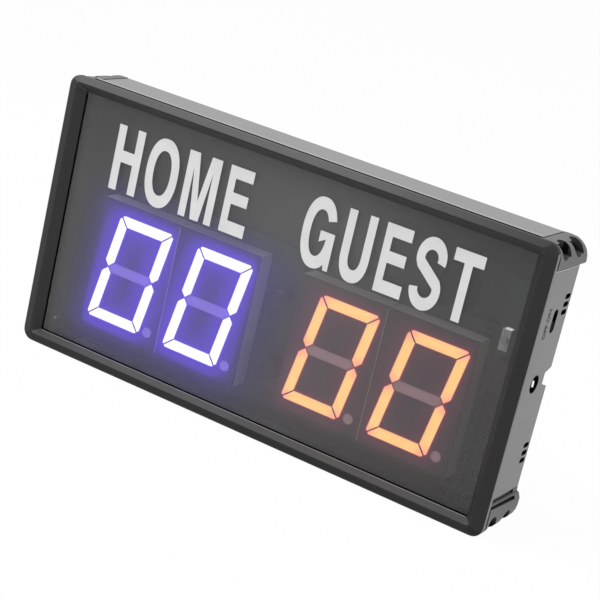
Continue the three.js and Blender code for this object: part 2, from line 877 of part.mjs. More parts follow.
// The segments and the point at a digit's place, slanted as one figure.
function figureOutlines(digitMiddle, shrink) {
  const slanted = ([across, up]) => [
    digitMiddle + figureShift + across + up * slantShare,
    digitMiddleHeight + up,
  ];
  const point = circleOutline(
    [
      digitMiddle + figureShift + digitWidth * pointOffsetShare,
      digitMiddleHeight - digitHeight * pointDropShare,
    ],
    pointRadius - shrink,
  );
  return [...segmentOutlines(shrink).map((outline) => outline.map(slanted)), point];
}

function digitBox(middle, front, rear, margin = 0) {
  const half = digitWidth / 2 - margin;
  const rise = digitHeight / 2 - margin;
  return boxSolid(
    [middle - half, front, digitMiddleHeight - rise],
    [middle + half, rear, digitMiddleHeight + rise],
  );
}

// The front film with its raised segments.
function digitFaceSolid(middle) {
  const film = digitBox(middle, digitFrontDepth, digitFrontDepth + faceThickness);
  const raised = figureOutlines(middle, 0).map((outline) =>
    slabSolid("front", outline, digitFrontDepth - segmentRise, digitFrontDepth + faceThickness / 2),
  );
  return joined(film, ...raised);
}

// The reflector block, with a window behind each segment and a pocket for the LED board.
function digitHousingSolid(middle) {
  const front = digitRear - housingThickness;
  const block = digitBox(middle, front, digitRear);
  const windows = figureOutlines(middle, reflectorInset).map((outline) =>
    slabSolid("front", outline, front - cutOverrun, digitRear + cutOverrun),
  );
  const pocket = digitBox(middle, digitRear - ledPocketDepth, digitRear + cutOverrun, ledPocketWall);
  return cut(block, pocket, ...windows);
}

// Where a digit's pins stand, in two rows.
function pinPlaces(middle) {
  return [-1, 1].flatMap((row) =>
    Array.from({ length: pinCount }, (_, column) => [
      middle + (column - (pinCount - 1) / 2) * pinPitch,
      digitMiddleHeight + (row * pinRowSpan) / 2,
    ]),
  );
}

// A square pin or hole round a place.
function squareSolid([across, up], half, front, rear) {
  return boxSolid([across - half, front, up - half], [across + half, rear, up + half]);
}

function ledBoardSolid(middle) {
  const front = digitRear - ledPocketDepth + fitGap;
  const sheet = digitBox(middle, front, front + ledBoardThickness, ledPocketWall + fitGap);
  const pins = pinPlaces(middle).map((place) =>
    squareSolid(place, pinWidth / 2, front + ledBoardThickness / 2, boardRear + pinTail),
  );
  return joined(sheet, ...pins);
}

// The main board: a long sheet with a tab for the ports at its right end.
function mainBoardSolid() {
  const notchLow = switchHeight - switchBodyLength / 2 - fitGap;
  const notchHigh = switchHeight + switchBodyLength / 2 + fitGap;
  const switchNotchLeft = switchFace - switchBodyWidth - switchNotchGap;
  const sheet = slabSolid(
    "front",
    [
      [-boardHalfWidth, boardLow],
      [boardHalfWidth, boardLow],
      [boardHalfWidth, tabLow],
      [tabRight, tabLow],
      [tabRight, notchLow],
      [switchNotchLeft, notchLow],
      [switchNotchLeft, notchHigh],
      [tabRight, notchHigh],
      [tabRight, tabHigh],
      [boardHalfWidth, tabHigh],
      [boardHalfWidth, boardHigh],
      [-boardHalfWidth, boardHigh],
    ],
    boardFront,
    boardRear,
  );
  const pinHoles = digitMiddles
    .flatMap(pinPlaces)
    .map((place) =>
      squareSolid(place, pinWidth / 2 + screwGap, boardFront - cutOverrun, boardRear + cutOverrun),
    );
  const screwHoles = boardScrewPlaces.map((place) =>
    slabSolid(
      "front",
      circleOutline(place, boardScrewRadius + screwGap),
      boardFront - cutOverrun,
      boardRear + cutOverrun,
    ),
  );
  return cut(sheet, ...pinHoles, ...screwHoles);
}

// The power inlet's moulded body, with its bore towards the end panel.
function socketBodySolid() {
  const back = socketMouth - socketBodyLength;
  const body = boxSolid(
    [back, partSeat - socketBodyDepth, socketHeight - socketBodyHeight / 2],
    [socketMouth, partSeat, socketHeight + socketBodyHeight / 2],
  );
  const middle = [socketDepth, socketHeight];
  const bore = slabSolid(
    "side",
    circleOutline(middle, socketBoreRadius, bigRoundSteps),
    socketMouth - socketBoreLength,
    socketMouth + cutOverrun,
  );
  const pinHole = slabSolid(
    "side",
    circleOutline(middle, socketPinRadius + screwGap),
    back - cutOverrun,
    socketMouth,
  );
  return cut(body, bore, pinHole);
}

function socketPinSolid() {
  return slabSolid(
    "side",
    circleOutline([socketDepth, socketHeight], socketPinRadius),
    socketMouth - socketBodyLength - socketPinTail,
    socketMouth - socketPinRecess,
  );
}

// The slide switch's body: a block in the board's notch, with a flange on the board.
function switchBodySolid() {
  const left = switchFace - switchBodyWidth;
  const low = switchHeight - switchBodyLength / 2;
  const high = switchHeight + switchBodyLength / 2;
  const front = switchDepth - switchBodyDepth / 2;
  const body = boxSolid([left, front, low], [switchFace, front + switchBodyDepth, high]);
  const flange = boxSolid(
    [left - switchFlangeReach, partSeat - switchFlangeThickness, low],
    [left + cutOverrun, partSeat, high],
  );
  const halfSlide = sliderWidth / 2 + fitGap;
  const channel = boxSolid(
    [switchFace - switchChannelReach, switchDepth - halfSlide, switchHeight - switchChannelLength / 2],
    [switchFace + cutOverrun, switchDepth + halfSlide, switchHeight + switchChannelLength / 2],
  );
  return cut(joined(body, flange), channel);
}

// The sliding actuator at the lower end of its travel.
function sliderSolid() {
  const middle = switchHeight - sliderTravel / 2;
  const half = sliderWidth / 2;
  const carriageLength = switchChannelLength - sliderTravel - 2 * carriageEndGap;
  const knobLength = switchSlotLength - sliderTravel - 2 * knobEndGap;
  const carriage = boxSolid(
    [switchFace - switchChannelReach + fitGap, switchDepth - half, middle - carriageLength / 2],
    [switchFace - fitGap, switchDepth + half, middle + carriageLength / 2],
  );
  const knob = boxSolid(
    [switchFace - cutOverrun, switchDepth - half, middle - knobLength / 2],
    [endPanelOuter - knobRecess, switchDepth + half, middle + knobLength / 2],
  );
  return joined(carriage, knob);
}

// The infrared receiver on its three legs, with a small round lens in front.
function receiverSolid() {
  const low = receiverHeight - receiverLength / 2;
  const high = receiverHeight + receiverLength / 2;
  const half = receiverWidth / 2;
  const rear = receiverFront + receiverBody;
  const body = boxSolid([receiverMiddle - half, receiverFront, low], [receiverMiddle + half, rear, high]);
  const lens = slabSolid(
    "front",
    circleOutline([receiverMiddle, receiverHeight], receiverLensRadius),
    receiverFront - receiverLensRise,
    receiverFront + receiverLensRise,
  );
  const legs = Array.from({ length: receiverLegCount }, (_, leg) => {
    const height = receiverHeight + (leg - (receiverLegCount - 1) / 2) * receiverLegPitch;
    return squareSolid([receiverMiddle, height], receiverLegWidth / 2, rear - receiverLensRise, partSeat);
  });
  return joined(body, lens, ...legs);
}

function buzzerSolid() {
  const place = [0, buzzerMiddle];
  const front = partSeat - buzzerHeight;
  const can = slabSolid("front", circleOutline(place, buzzerRadius, bigRoundSteps), front, partSeat);
  const hole = slabSolid(
    "front",
    circleOutline(place, buzzerHole),
    front - cutOverrun,
    front + buzzerHoleDepth,
  );
  return cut(can, hole);
}

// The smoothing capacitor stands on the board, with a rolled rim at its foot.
function capacitorSolid() {
  const profile = [
    [0, 0],
    [capacitorRadius, 0],
    [capacitorRadius, capacitorRim],
    [capacitorRadius - capacitorRimInset, 2 * capacitorRim],
    [capacitorRadius, 3 * capacitorRim],
    [capacitorRadius, capacitorHeight - capacitorRim],
    [capacitorRadius - capacitorRim, capacitorHeight],
    [0, capacitorHeight],
  ];
  const geometry = new THREE.LatheGeometry(
    profile.map(([radius, height]) => new THREE.Vector2(radius, height)),
    bigRoundSteps,
  );
  geometry.rotateX(2 * quarterTurn);
  geometry.translate(0, partSeat, digitMiddleHeight + capacitorRise);
  return solidOf(geometry);
}

// A flat package on the board's rear, with rows of leads along its upper and lower edges.
function chipSolid(middle, width, height, thickness, leads) {
  const [across, up] = middle;
  const body = boxSolid(
    [across - width / 2, rearPartSeat, up - height / 2],
    [across + width / 2, rearPartSeat + thickness, up + height / 2],
  );
  const rows = [-1, 1].flatMap((side) =>
    Array.from({ length: leads }, (_, lead) => {
      const place = across + (lead - (leads - 1) / 2) * leadPitch;
      return boxSolid(
        [place - leadWidth / 2, rearPartSeat, up],
        [place + leadWidth / 2, rearPartSeat + leadThickness, up + side * (height / 2 + leadReach)],
      );
    }),
  );
  return joined(body, ...rows);
}

function crystalSolid() {
  const half = crystalLength / 2 - crystalWidth / 2;
  const height = digitMiddleHeight - crystalDrop;
  return slabSolid(
    "front",
    slotOutline([-half, height], [half, height], crystalWidth / 2),
    rearPartSeat,
    rearPartSeat + crystalThickness,
  );
}

// Finishes
const finishes = {
  bezelPlastic: { color: 0x2f3033, roughness: 0.5, metalness: 0 },
  smokedAcrylic: { color: 0x24252a, roughness: 0.12, metalness: 0 },
  railMetal: { color: 0x6d6e70, roughness: 0.45, metalness: 0.4 },
  bodyPlastic: { color: 0x55565a, roughness: 0.55, metalness: 0 },
  coverPlastic: { color: 0x2a2b2e, roughness: 0.6, metalness: 0 },
  housingPlastic: { color: 0x8a8b90, roughness: 0.6, metalness: 0 },
  whiteFilm: { color: 0xf4f2ff, roughness: 0.4, metalness: 0 },
  orangeFilm: { color: 0xffc377, roughness: 0.4, metalness: 0 },
  circuitBoard: { color: 0x1d2a24, roughness: 0.45, metalness: 0 },
  blackPlastic: { color: 0x151517, roughness: 0.45, metalness: 0 },
  receiverResin: { color: 0x8f9096, roughness: 0.25, metalness: 0 },
  plating: { color: 0xb9babd, roughness: 0.25, metalness: 1 },
  screwSteel: { color: 0x4a4b4e, roughness: 0.35, metalness: 1 },
};

const scoreboard = new THREE.Group();
scoreboard.position.y = -(bodyDepth - crestRise) / 2;

function addPiece(name, solid, finish) {
  const material = new THREE.MeshStandardMaterial(finishes[finish]);
  const mesh = new THREE.Mesh(geometryOf(solid), material);
  mesh.name = name;
  scoreboard.add(mesh);
}

const cornerNames = ["top_left", "top_right", "bottom_left", "bottom_right"];

addPiece("front_bezel", bezelSolid(), "bezelPlastic");
addPiece("smoked_panel", smokedPanelSolid(), "smokedAcrylic");
addPiece("top_rail", railSolid(1), "railMetal");
addPiece("bottom_rail", railSolid(-1), "railMetal");
addPiece("left_end_panel", endPanelSolid(-1, false), "bodyPlastic");
addPiece("right_end_panel", endPanelSolid(1, true), "bodyPlastic");
cornerSigns.forEach((signs, corner) => {
  addPiece(`corner_block_${cornerNames[corner]}`, cornerBlockSolid(...signs), "bodyPlastic");
  addPiece(`corner_screw_${cornerNames[corner]}`, cornerScrewSolid(signs), "screwSteel");
  addPiece(
    `board_screw_${cornerNames[corner]}`,
    boardScrewSolid(boardScrewPlaces[corner]),
    "screwSteel",
  );
});
addPiece("rear_cover", rearCoverSolid(), "coverPlastic");
addPiece("main_board", mainBoardSolid(), "circuitBoard");
digitMiddles.forEach((middle, digit) => {
  const film = digit < 2 ? "whiteFilm" : "orangeFilm";
  addPiece(`digit_face_${digit + 1}`, digitFaceSolid(middle), film);
  addPiece(`digit_housing_${digit + 1}`, digitHousingSolid(middle), "housingPlastic");
  addPiece(`digit_led_board_${digit + 1}`, ledBoardSolid(middle), "circuitBoard");
});
addPiece("power_inlet_body", socketBodySolid(), "blackPlastic");
addPiece("power_inlet_pin", socketPinSolid(), "plating");
addPiece("slide_switch_body", switchBodySolid(), "plating");
addPiece("slide_switch_actuator", sliderSolid(), "blackPlastic");
addPiece("infrared_receiver", receiverSolid(), "receiverResin");
addPiece("buzzer", buzzerSolid(), "blackPlastic");
addPiece("smoothing_capacitor", capacitorSolid(), "blackPlastic");
addPiece("clock_crystal", crystalSolid(), "plating");
addPiece(
  "microcontroller",
  chipSolid(
    [0, digitMiddleHeight + controllerRise],
    controllerSide,
    controllerSide,
    controllerThickness,
    controllerLeads,
  ),
  "blackPlastic",
);
[-1, 1].forEach((side, driver) => {
  const middle = [(side * digitPairSpan) / 2, digitMiddleHeight];
  addPiece(
    `segment_driver_${driver + 1}`,
    chipSolid(middle, driverLength, driverWidth, driverThickness, driverLeads),
    "blackPlastic",
  );
});

export default scoreboard;
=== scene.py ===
"""Looks of an electronic scoreboard: bezel, smoked panel, lit digits, body, ports and studio.

Sizes are in millimetres as in the part's source: across from the middle, depth back from the
plane of the bezel's outer edge, and height above the foot. Meshes are in metres.
"""

import logging
import math
from collections.abc import Callable, Iterator, Sequence
from contextlib import contextmanager
from dataclasses import dataclass, field, replace
from enum import Enum

import bmesh
import bpy
import numpy as np
from mathutils import Matrix, Vector


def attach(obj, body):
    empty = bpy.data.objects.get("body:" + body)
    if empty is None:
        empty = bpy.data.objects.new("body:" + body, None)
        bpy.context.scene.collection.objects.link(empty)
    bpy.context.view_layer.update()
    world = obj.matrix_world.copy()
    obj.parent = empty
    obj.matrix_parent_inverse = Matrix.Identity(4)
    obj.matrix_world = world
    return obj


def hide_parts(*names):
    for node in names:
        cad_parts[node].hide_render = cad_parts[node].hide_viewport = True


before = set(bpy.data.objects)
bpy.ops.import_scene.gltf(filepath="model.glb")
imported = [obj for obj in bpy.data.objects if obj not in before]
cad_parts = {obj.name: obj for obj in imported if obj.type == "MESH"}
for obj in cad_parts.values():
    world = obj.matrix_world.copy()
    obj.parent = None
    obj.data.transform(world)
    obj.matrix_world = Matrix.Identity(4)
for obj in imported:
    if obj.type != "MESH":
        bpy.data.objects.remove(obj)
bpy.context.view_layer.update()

MM = 0.001
DEPTH_ZERO = 13.05  # the frame's origin behind the plane of the bezel's outer edge
QUARTER = math.pi / 2
BODY = "scoreboard"  # what every new piece moves with
SIDES = (-1, 1)  # left and right
QUADRANTS = ((False, False), (True, False), (False, True), (True, True))
GILL_HEIGHTS = (97.55, 32.8)  # of the middle gill in each group
FAR = 1e9

Point = tuple[float, float]
Triple = tuple[float, float, float]
Colour = Triple
log = logging.getLogger("scoreboard")


def spot(across: float, depth: float, height: float) -> Vector:
    """A point in the frame.

    Args:
        across: Millimetres to the right of the middle.
        depth: Millimetres behind the bezel's outer edge.
        height: Millimetres above the foot.

    Returns:
        The point in metres.
    """
    return Vector((across, depth - DEPTH_ZERO, height)) * MM


def grey(level: int) -> Colour:
    """The linear colour of a display grey from 0 to 255."""
    return tone(level, level, level)


def tone(red: int, green: int, blue: int) -> Colour:
    """The linear colour of display values.

    Args:
        red: Display red, 0 to 255.
        green: Display green, 0 to 255.
        blue: Display blue, 0 to 255.

    Returns:
        The linear colour.
    """

    def linear(value: int) -> float:
        share = value / 255
        return share / 12.92 if share <= 0.04045 else ((share + 0.055) / 1.055) ** 2.4

    return linear(red), linear(green), linear(blue)


def dimmed(colour: Colour, share: float) -> Colour:
    """A colour times a share, which may be above 1."""
    return tuple(value * share for value in colour)


NO_LIGHT = grey(0)
PATTERN_SPAN = (0.3, 0.7)  # the part of a noise pattern that shows
WORN_RADIUS = 0.0002  # how far the wear of an edge reaches, in metres
WORN_SPAN = (0.995, 0.8)  # how alike the plain and the softened normal are, without and with wear
DEEP_SHARE = 0.45  # how open a recess is where it is darkest, next to where it starts


class Slot(Enum):
    """The record's material slots."""

    BEZEL = "bezel_plastic"
    PANEL = "smoked_acrylic"
    RAIL = "rail_aluminium"
    BODY = "body_plastic"
    COVER = "cover_plastic"
    BOARD = "circuit_board"
    WHITE_FILM = "white_film"
    ORANGE_FILM = "orange_film"
    HOUSING = "housing_plastic"
    BLACK = "black_plastic"
    SLEEVE = "capacitor_sleeve"
    PLATED = "plated_metal"
    RESIN = "receiver_resin"
    STEEL = "screw_steel"


# Finishes


class NodeBoard:
    """The nodes of one material, laid and linked one after another."""

    def __init__(self, name: str) -> None:
        """Starts an empty material with a name."""
        self.material = bpy.data.materials.new(name)
        self.material.use_nodes = True
        self.tree = self.material.node_tree
        self.tree.nodes.clear()
        self.output = self.tree.nodes.new("ShaderNodeOutputMaterial")
        self.place = self.node("ShaderNodeTexCoord").outputs["Object"]

    def node(self, kind: str, **settings: object) -> bpy.types.Node:
        """Adds a node.

        Args:
            kind: Its type.
            **settings: Its properties.

        Returns:
            The node.
        """
        made = self.tree.nodes.new(kind)
        for key, value in settings.items():
            setattr(made, key, value)
        return made

    def feed(self, socket: bpy.types.NodeSocket, value: object) -> None:
        """Links an output to an input, or sets the input.

        Args:
            socket: The input.
            value: An output socket, a number or a colour.
        """
        if isinstance(value, bpy.types.NodeSocket):
            self.tree.links.new(value, socket)
        elif isinstance(value, tuple) and len(value) == 3 and socket.type == "RGBA":
            socket.default_value = (*value, 1.0)
        else:
            socket.default_value = value

    def stretched(self, scales: Triple) -> bpy.types.NodeSocket:
        """Object coordinates, each axis stretched by its own factor."""
        mapping = self.node("ShaderNodeMapping")
        self.feed(mapping.inputs["Vector"], self.place)
        mapping.inputs["Scale"].default_value = scales
        return mapping.outputs["Vector"]

    def noise(
        self, scale: float, detail: float = 3.0, place: bpy.types.NodeSocket | None = None
    ) -> bpy.types.NodeSocket:
        """A noise pattern.

        Args:
            scale: Its spots to the metre.
            detail: Its octaves.
            place: Coordinates other than the object's own.

        Returns:
            Its value from 0 to 1.
        """
        made = self.node("ShaderNodeTexNoise")
        made.inputs["Scale"].default_value = scale
        made.inputs["Detail"].default_value = detail
        self.feed(made.inputs["Vector"], place or self.place)
        return made.outputs["Fac"]

    def ramp(
        self, value: bpy.types.NodeSocket, low: float, high: float, to: Point = (0.0, 1.0)
    ) -> bpy.types.NodeSocket:
        """A value brought from one span to another and kept inside it.

        Args:
            value: What is brought over.
            low: The start of its span.
            high: The end of its span.
            to: The span that comes out.

        Returns:
            The new value.
        """
        made = self.node("ShaderNodeMapRange", clamp=True)
        self.feed(made.inputs["Value"], value)
        made.inputs["From Min"].default_value = low
        made.inputs["From Max"].default_value = high
        made.inputs["To Min"].default_value = to[0]
        made.inputs["To Max"].default_value = to[1]
        return made.outputs["Result"]

    def maths(self, how: str, first: object, second: object) -> bpy.types.NodeSocket:
        """The result of an operation on two numbers or outputs."""
        made = self.node("ShaderNodeMath", operation=how)
        self.feed(made.inputs[0], first)
        self.feed(made.inputs[1], second)
        return made.outputs["Value"]

    def blend(
        self, share: object, first: object, second: object, how: str = "MIX"
    ) -> bpy.types.NodeSocket:
        """Two colours mixed.

        Args:
            share: How much of the second, a number or an output.
            first: A colour or an output.
            second: A colour or an output.
            how: The way of mixing.

        Returns:
            The mixed colour.
        """
        made = self.node("ShaderNodeMix", data_type="RGBA", blend_type=how)
        self.feed(made.inputs[0], share)
        self.feed(made.inputs[6], first)
        self.feed(made.inputs[7], second)
        return made.outputs[2]

    def spread(self, value: bpy.types.NodeSocket, to: Point = (0.0, 1.0)) -> bpy.types.NodeSocket:
        """A noise pattern brought from the span that shows to another one."""
        return self.ramp(value, *PATTERN_SPAN, to)

    def times(self, colour: object, factor: object) -> bpy.types.NodeSocket:
        """A colour times a factor, each a value or an output."""
        made = self.node("ShaderNodeVectorMath", operation="SCALE")
        self.feed(made.inputs[0], colour)
        self.feed(made.inputs["Scale"], factor)
        return made.outputs["Vector"]

    def own_axis(self, name: str) -> bpy.types.NodeSocket:
        """One of the object's own coordinates, X, Y or Z."""
        split = self.node("ShaderNodeSeparateXYZ")
        self.feed(split.inputs[0], self.place)
        return split.outputs[name]

    def drawn(self, attribute: str) -> bpy.types.NodeSocket:
        """The value of a mesh attribute."""
        return self.node("ShaderNodeAttribute", attribute_name=attribute).outputs["Fac"]

    def drawn_light(self, attribute: str, colour: Colour) -> bpy.types.NodeSocket:
        """A coloured light as strong as a mesh attribute says."""
        return self.blend(self.drawn(attribute), NO_LIGHT, colour)

    def worn_edge(self, radius: float) -> tuple[bpy.types.NodeSocket, bpy.types.NodeSocket]:
        """Where an edge is near.

        Args:
            radius: How far from it, in metres.

        Returns:
            The mask of the edge, and the softened normal.
        """
        soft = self.node("ShaderNodeBevel", samples=3)
        soft.inputs["Radius"].default_value = radius
        flat = self.node("ShaderNodeNewGeometry").outputs["Normal"]
        dot = self.node("ShaderNodeVectorMath", operation="DOT_PRODUCT")
        self.feed(dot.inputs[0], soft.outputs["Normal"])
        self.feed(dot.inputs[1], flat)
        return self.ramp(dot.outputs["Value"], *WORN_SPAN), soft.outputs["Normal"]

    def recess(self, reach: float, open_share: float = 0.72) -> bpy.types.NodeSocket:
        """Where a slot, seam or corner keeps the light out.

        Args:
            reach: How wide such a place is at most, in metres.
            open_share: How open a place is that still counts as plain surface.

        Returns:
            1 deep inside such a place, 0 on plain surface.
        """
        around = self.node("ShaderNodeAmbientOcclusion", samples=4)
        around.inputs["Distance"].default_value = reach
        return self.ramp(around.outputs["AO"], open_share, open_share * DEEP_SHARE)

    def bump(
        self,
        height: bpy.types.NodeSocket,
        depth: float,
        normal: bpy.types.NodeSocket | None = None,
    ) -> bpy.types.NodeSocket:
        """A raised texture.

        Args:
            height: Its height from 0 to 1.
            depth: Its depth in metres.
            normal: A normal that it sits on.

        Returns:
            The new normal.
        """
        made = self.node("ShaderNodeBump")
        made.inputs["Distance"].default_value = depth
        self.feed(made.inputs["Height"], height)
        if normal is not None:
            self.feed(made.inputs["Normal"], normal)
        return made.outputs["Normal"]

    def surface(self, **sockets: object) -> bpy.types.Material:
        """Ends the material with a principled surface.

        Args:
            **sockets: Its inputs, with underscores for spaces.

        Returns:
            The material.
        """
        shader = self.node("ShaderNodeBsdfPrincipled")
        for key, value in sockets.items():
            self.feed(shader.inputs[key.replace("_", " ")], value)
        self.tree.links.new(shader.outputs["BSDF"], self.output.inputs["Surface"])
        return self.material


@dataclass(frozen=True)
class Finish:
    """A finish, made a material once and then shared."""

    name: str

    def material(self) -> bpy.types.Material:
        """The finish as a material."""
        return bpy.data.materials.get(self.name) or self.made()

    def made(self) -> bpy.types.Material:
        """Makes the material."""
        raise NotImplementedError


@dataclass(frozen=True)
class MouldedPlastic(Finish):
    """Spark-eroded moulded plastic with burnished edges, faint flow marks and rubbed spots."""

    colour: Colour = (0.1, 0.1, 0.1)
    edge: Colour = (0.2, 0.2, 0.2)
    roughness: float = 0.5
    specular: float = 0.4
    grain: float = 1500.0
    grain_depth: float = 0.00002
    edge_share: float = 0.5
    mottle: float = 0.1
    recess: float = 0.004
    recess_open: float = 0.72
    highlight_end_share: float = 1.0
    highlight_span: Point = (0.03, 0.115)
    cloud_scale: float = 38.0
    darker_share: float = 1.6
    flow_scale: float = 9.0
    flow_stretch: Triple = (1.0, 6.0, 3.0)
    flow_span: Point = (0.35, 0.75)
    flow_levels: Point = (0.0, 0.35)
    speckle: Point = (0.93, 1.07)
    wear_span: Point = (0.25, 0.6)
    wear_levels: Point = (0.6, 1.0)
    rub_scale: float = 130.0
    rub_span: Point = (0.62, 0.78)
    rub_polish: float = 0.07
    shade: Colour = grey(9)
    shade_share: float = 0.93

    def made(self) -> bpy.types.Material:
        """Makes the material."""
        nodes = NodeBoard(self.name)
        grain = nodes.noise(self.grain, detail=2)
        clouds = nodes.noise(self.cloud_scale, detail=4)
        flow = nodes.noise(self.flow_scale, place=nodes.stretched(self.flow_stretch))
        rubbed = nodes.ramp(nodes.noise(self.rub_scale, detail=5), *self.rub_span)
        edge, normal = nodes.worn_edge(WORN_RADIUS)
        darker = dimmed(self.colour, 1 - self.mottle * self.darker_share)
        base = nodes.blend(nodes.spread(clouds), darker, dimmed(self.colour, 1 + self.mottle))
        flow_share = nodes.ramp(flow, *self.flow_span, self.flow_levels)
        base = nodes.blend(flow_share, base, self.colour)
        speckle = nodes.spread(grain, self.speckle)
        # painted highlight: the colour fades towards the object's right end
        highlight_fade = nodes.ramp(nodes.own_axis("X"), *self.highlight_span, (1.0, self.highlight_end_share))
        tint = nodes.times(base, nodes.maths("MULTIPLY", speckle, highlight_fade))
        wear = nodes.maths("MULTIPLY", edge, self.edge_share)
        patches = nodes.ramp(clouds, *self.wear_span, self.wear_levels)
        shown = nodes.blend(nodes.maths("MULTIPLY", wear, patches), tint, self.edge)
        # painted shade: the colour darkens in recesses, seams and corners
        recess = nodes.recess(self.recess, self.recess_open)
        shown = nodes.blend(nodes.maths("MULTIPLY", recess, self.shade_share), shown, self.shade)
        rough = nodes.spread(clouds, (self.roughness - 0.05, self.roughness + 0.06))
        polish = nodes.maths("MULTIPLY", rubbed, self.rub_polish)
        rough = nodes.maths("SUBTRACT", rough, polish)
        return nodes.surface(
            Base_Color=shown,
            Roughness=rough,
            Specular_IOR_Level=self.specular,
            Normal=nodes.bump(grain, self.grain_depth, normal),
        )


@dataclass(frozen=True)
class DrawnMetal(Finish):
    """Metal with lines along its length: a painted or bare extrusion, plating or steel."""

    colour: Colour = (0.3, 0.3, 0.3)
    edge: Colour = (0.5, 0.5, 0.5)
    metallic: float = 0.3
    roughness: float = 0.42
    lines: Triple = (6.0, 900.0, 900.0)
    line_depth: float = 0.00001
    variation: float = 0.08
    recess: float = 0.002
    recess_open: float = 0.72
    cloud_scale: float = 24.0
    cloud_span: Point = (0.35, 0.75)
    cloud_levels: Point = (0.0, 0.4)
    dust_scale: float = 2200.0
    dust_span: Point = (0.66, 0.8)
    dust_share: float = 0.15
    wear_share: float = 0.6
    shade: Colour = grey(12)
    shade_share: float = 0.8

    def made(self) -> bpy.types.Material:
        """Makes the material."""
        nodes = NodeBoard(self.name)
        lines = nodes.noise(1.0, place=nodes.stretched(self.lines))
        clouds = nodes.noise(self.cloud_scale)
        dust = nodes.ramp(nodes.noise(self.dust_scale, detail=1), *self.dust_span)
        edge, normal = nodes.worn_edge(WORN_RADIUS)
        darker, lighter = (dimmed(self.colour, 1 + side * self.variation) for side in SIDES)
        base = nodes.blend(nodes.spread(lines), darker, lighter)
        cloudy = nodes.ramp(clouds, *self.cloud_span, self.cloud_levels)
        base = nodes.blend(cloudy, base, self.colour)
        base = nodes.blend(nodes.maths("MULTIPLY", dust, self.dust_share), base, self.edge)
        shown = nodes.blend(nodes.maths("MULTIPLY", edge, self.wear_share), base, self.edge)
        # painted shade: the colour darkens in recesses, seams and corners
        recess = nodes.recess(self.recess, self.recess_open)
        shown = nodes.blend(nodes.maths("MULTIPLY", recess, self.shade_share), shown, self.shade)
        rough = nodes.spread(lines, (self.roughness - 0.06, self.roughness + 0.06))
        return nodes.surface(
            Base_Color=shown,
            Roughness=rough,
            Metallic=self.metallic,
            Normal=nodes.bump(lines, self.line_depth, normal),
        )


@dataclass(frozen=True)
class SmokedAcrylic(Finish):
    """A smoked sheet that lets part of the light through and glows a little near the digits."""

    colour: Colour = (0.1, 0.1, 0.1)
    cover: float = 0.37
    violet: Colour = (0.035, 0.0096, 0.365)
    red: Colour = (0.045, 0.0, 0.004)
    roughness: Point = (0.1, 0.16)
    uneven_scale: float = 14.0
    uneven_span: Point = (0.2, 0.8)
    uneven_levels: Point = (0.94, 1.06)
    dust: Colour = grey(150)
    dust_scale: float = 1500.0
    dust_span: Point = (0.78, 0.86)
    dust_share: float = 0.1
    wipe_scale: float = 60.0
    wipe_stretch: Triple = (1.0, 1.0, 0.25)
    wipe_depth: float = 0.000002

    def made(self) -> bpy.types.Material:
        """Makes the material."""
        nodes = NodeBoard(self.name)
        # this noise only makes the painted sheen uneven
        haze = nodes.noise(self.uneven_scale)
        dust = nodes.ramp(nodes.noise(self.dust_scale, detail=1), *self.dust_span)
        wipes = nodes.noise(self.wipe_scale, place=nodes.stretched(self.wipe_stretch))
        uneven = nodes.ramp(haze, *self.uneven_span, self.uneven_levels)
        # painted sheen and shade: the drawn attribute lightens or darkens the tint
        sheen = nodes.maths("MULTIPLY", nodes.drawn("sheen"), uneven)
        tint = nodes.times(self.colour, nodes.maths("ADD", sheen, 1.0))
        base = nodes.blend(nodes.maths("MULTIPLY", dust, self.dust_share), tint, self.dust)
        # painted glow: the digits' light spread over the sheet
        glow = nodes.drawn_light("violet_haze", self.violet)
        warm = nodes.drawn_light("red_haze", self.red)
        return nodes.surface(
            Base_Color=base,
            Roughness=nodes.spread(wipes, self.roughness),
            Alpha=self.cover,
            Emission_Color=nodes.blend(1.0, glow, warm, "ADD"),
            Emission_Strength=1.0,
            Normal=nodes.bump(wipes, self.wipe_depth),
        )


@dataclass(frozen=True)
class GlowingFilm(Finish):
    """The digit's dark film, with the light of its segments spreading over it."""

    colour: Colour = (0.05, 0.05, 0.05)
    near: Colour = (0.045, 0.004, 0.52)
    wide: Colour = (0.064, 0.0145, 0.44)
    roughness: Point = (0.5, 0.65)
    glow_levels: Point = (0.92, 1.08)
    darker_share: float = 0.8
    cloud_scale: float = 70.0
    weave_scale: float = 1500.0
    weave_depth: float = 0.000004

    def made(self) -> bpy.types.Material:
        """Makes the material."""
        nodes = NodeBoard(self.name)
        weave = nodes.noise(self.weave_scale, detail=2)
        clouds = nodes.noise(self.cloud_scale)
        darker = dimmed(self.colour, self.darker_share)
        base = nodes.blend(nodes.spread(clouds), darker, self.colour)
        # painted glow: the segments' light spread over the film
        near = nodes.drawn_light("near_glow", self.near)
        wide = nodes.drawn_light("wide_glow", self.wide)
        return nodes.surface(
            Base_Color=base,
            Roughness=nodes.spread(weave, self.roughness),
            Emission_Color=nodes.blend(1.0, near, wide, "ADD"),
            Emission_Strength=nodes.spread(clouds, self.glow_levels),
            Normal=nodes.bump(weave, self.weave_depth),
        )


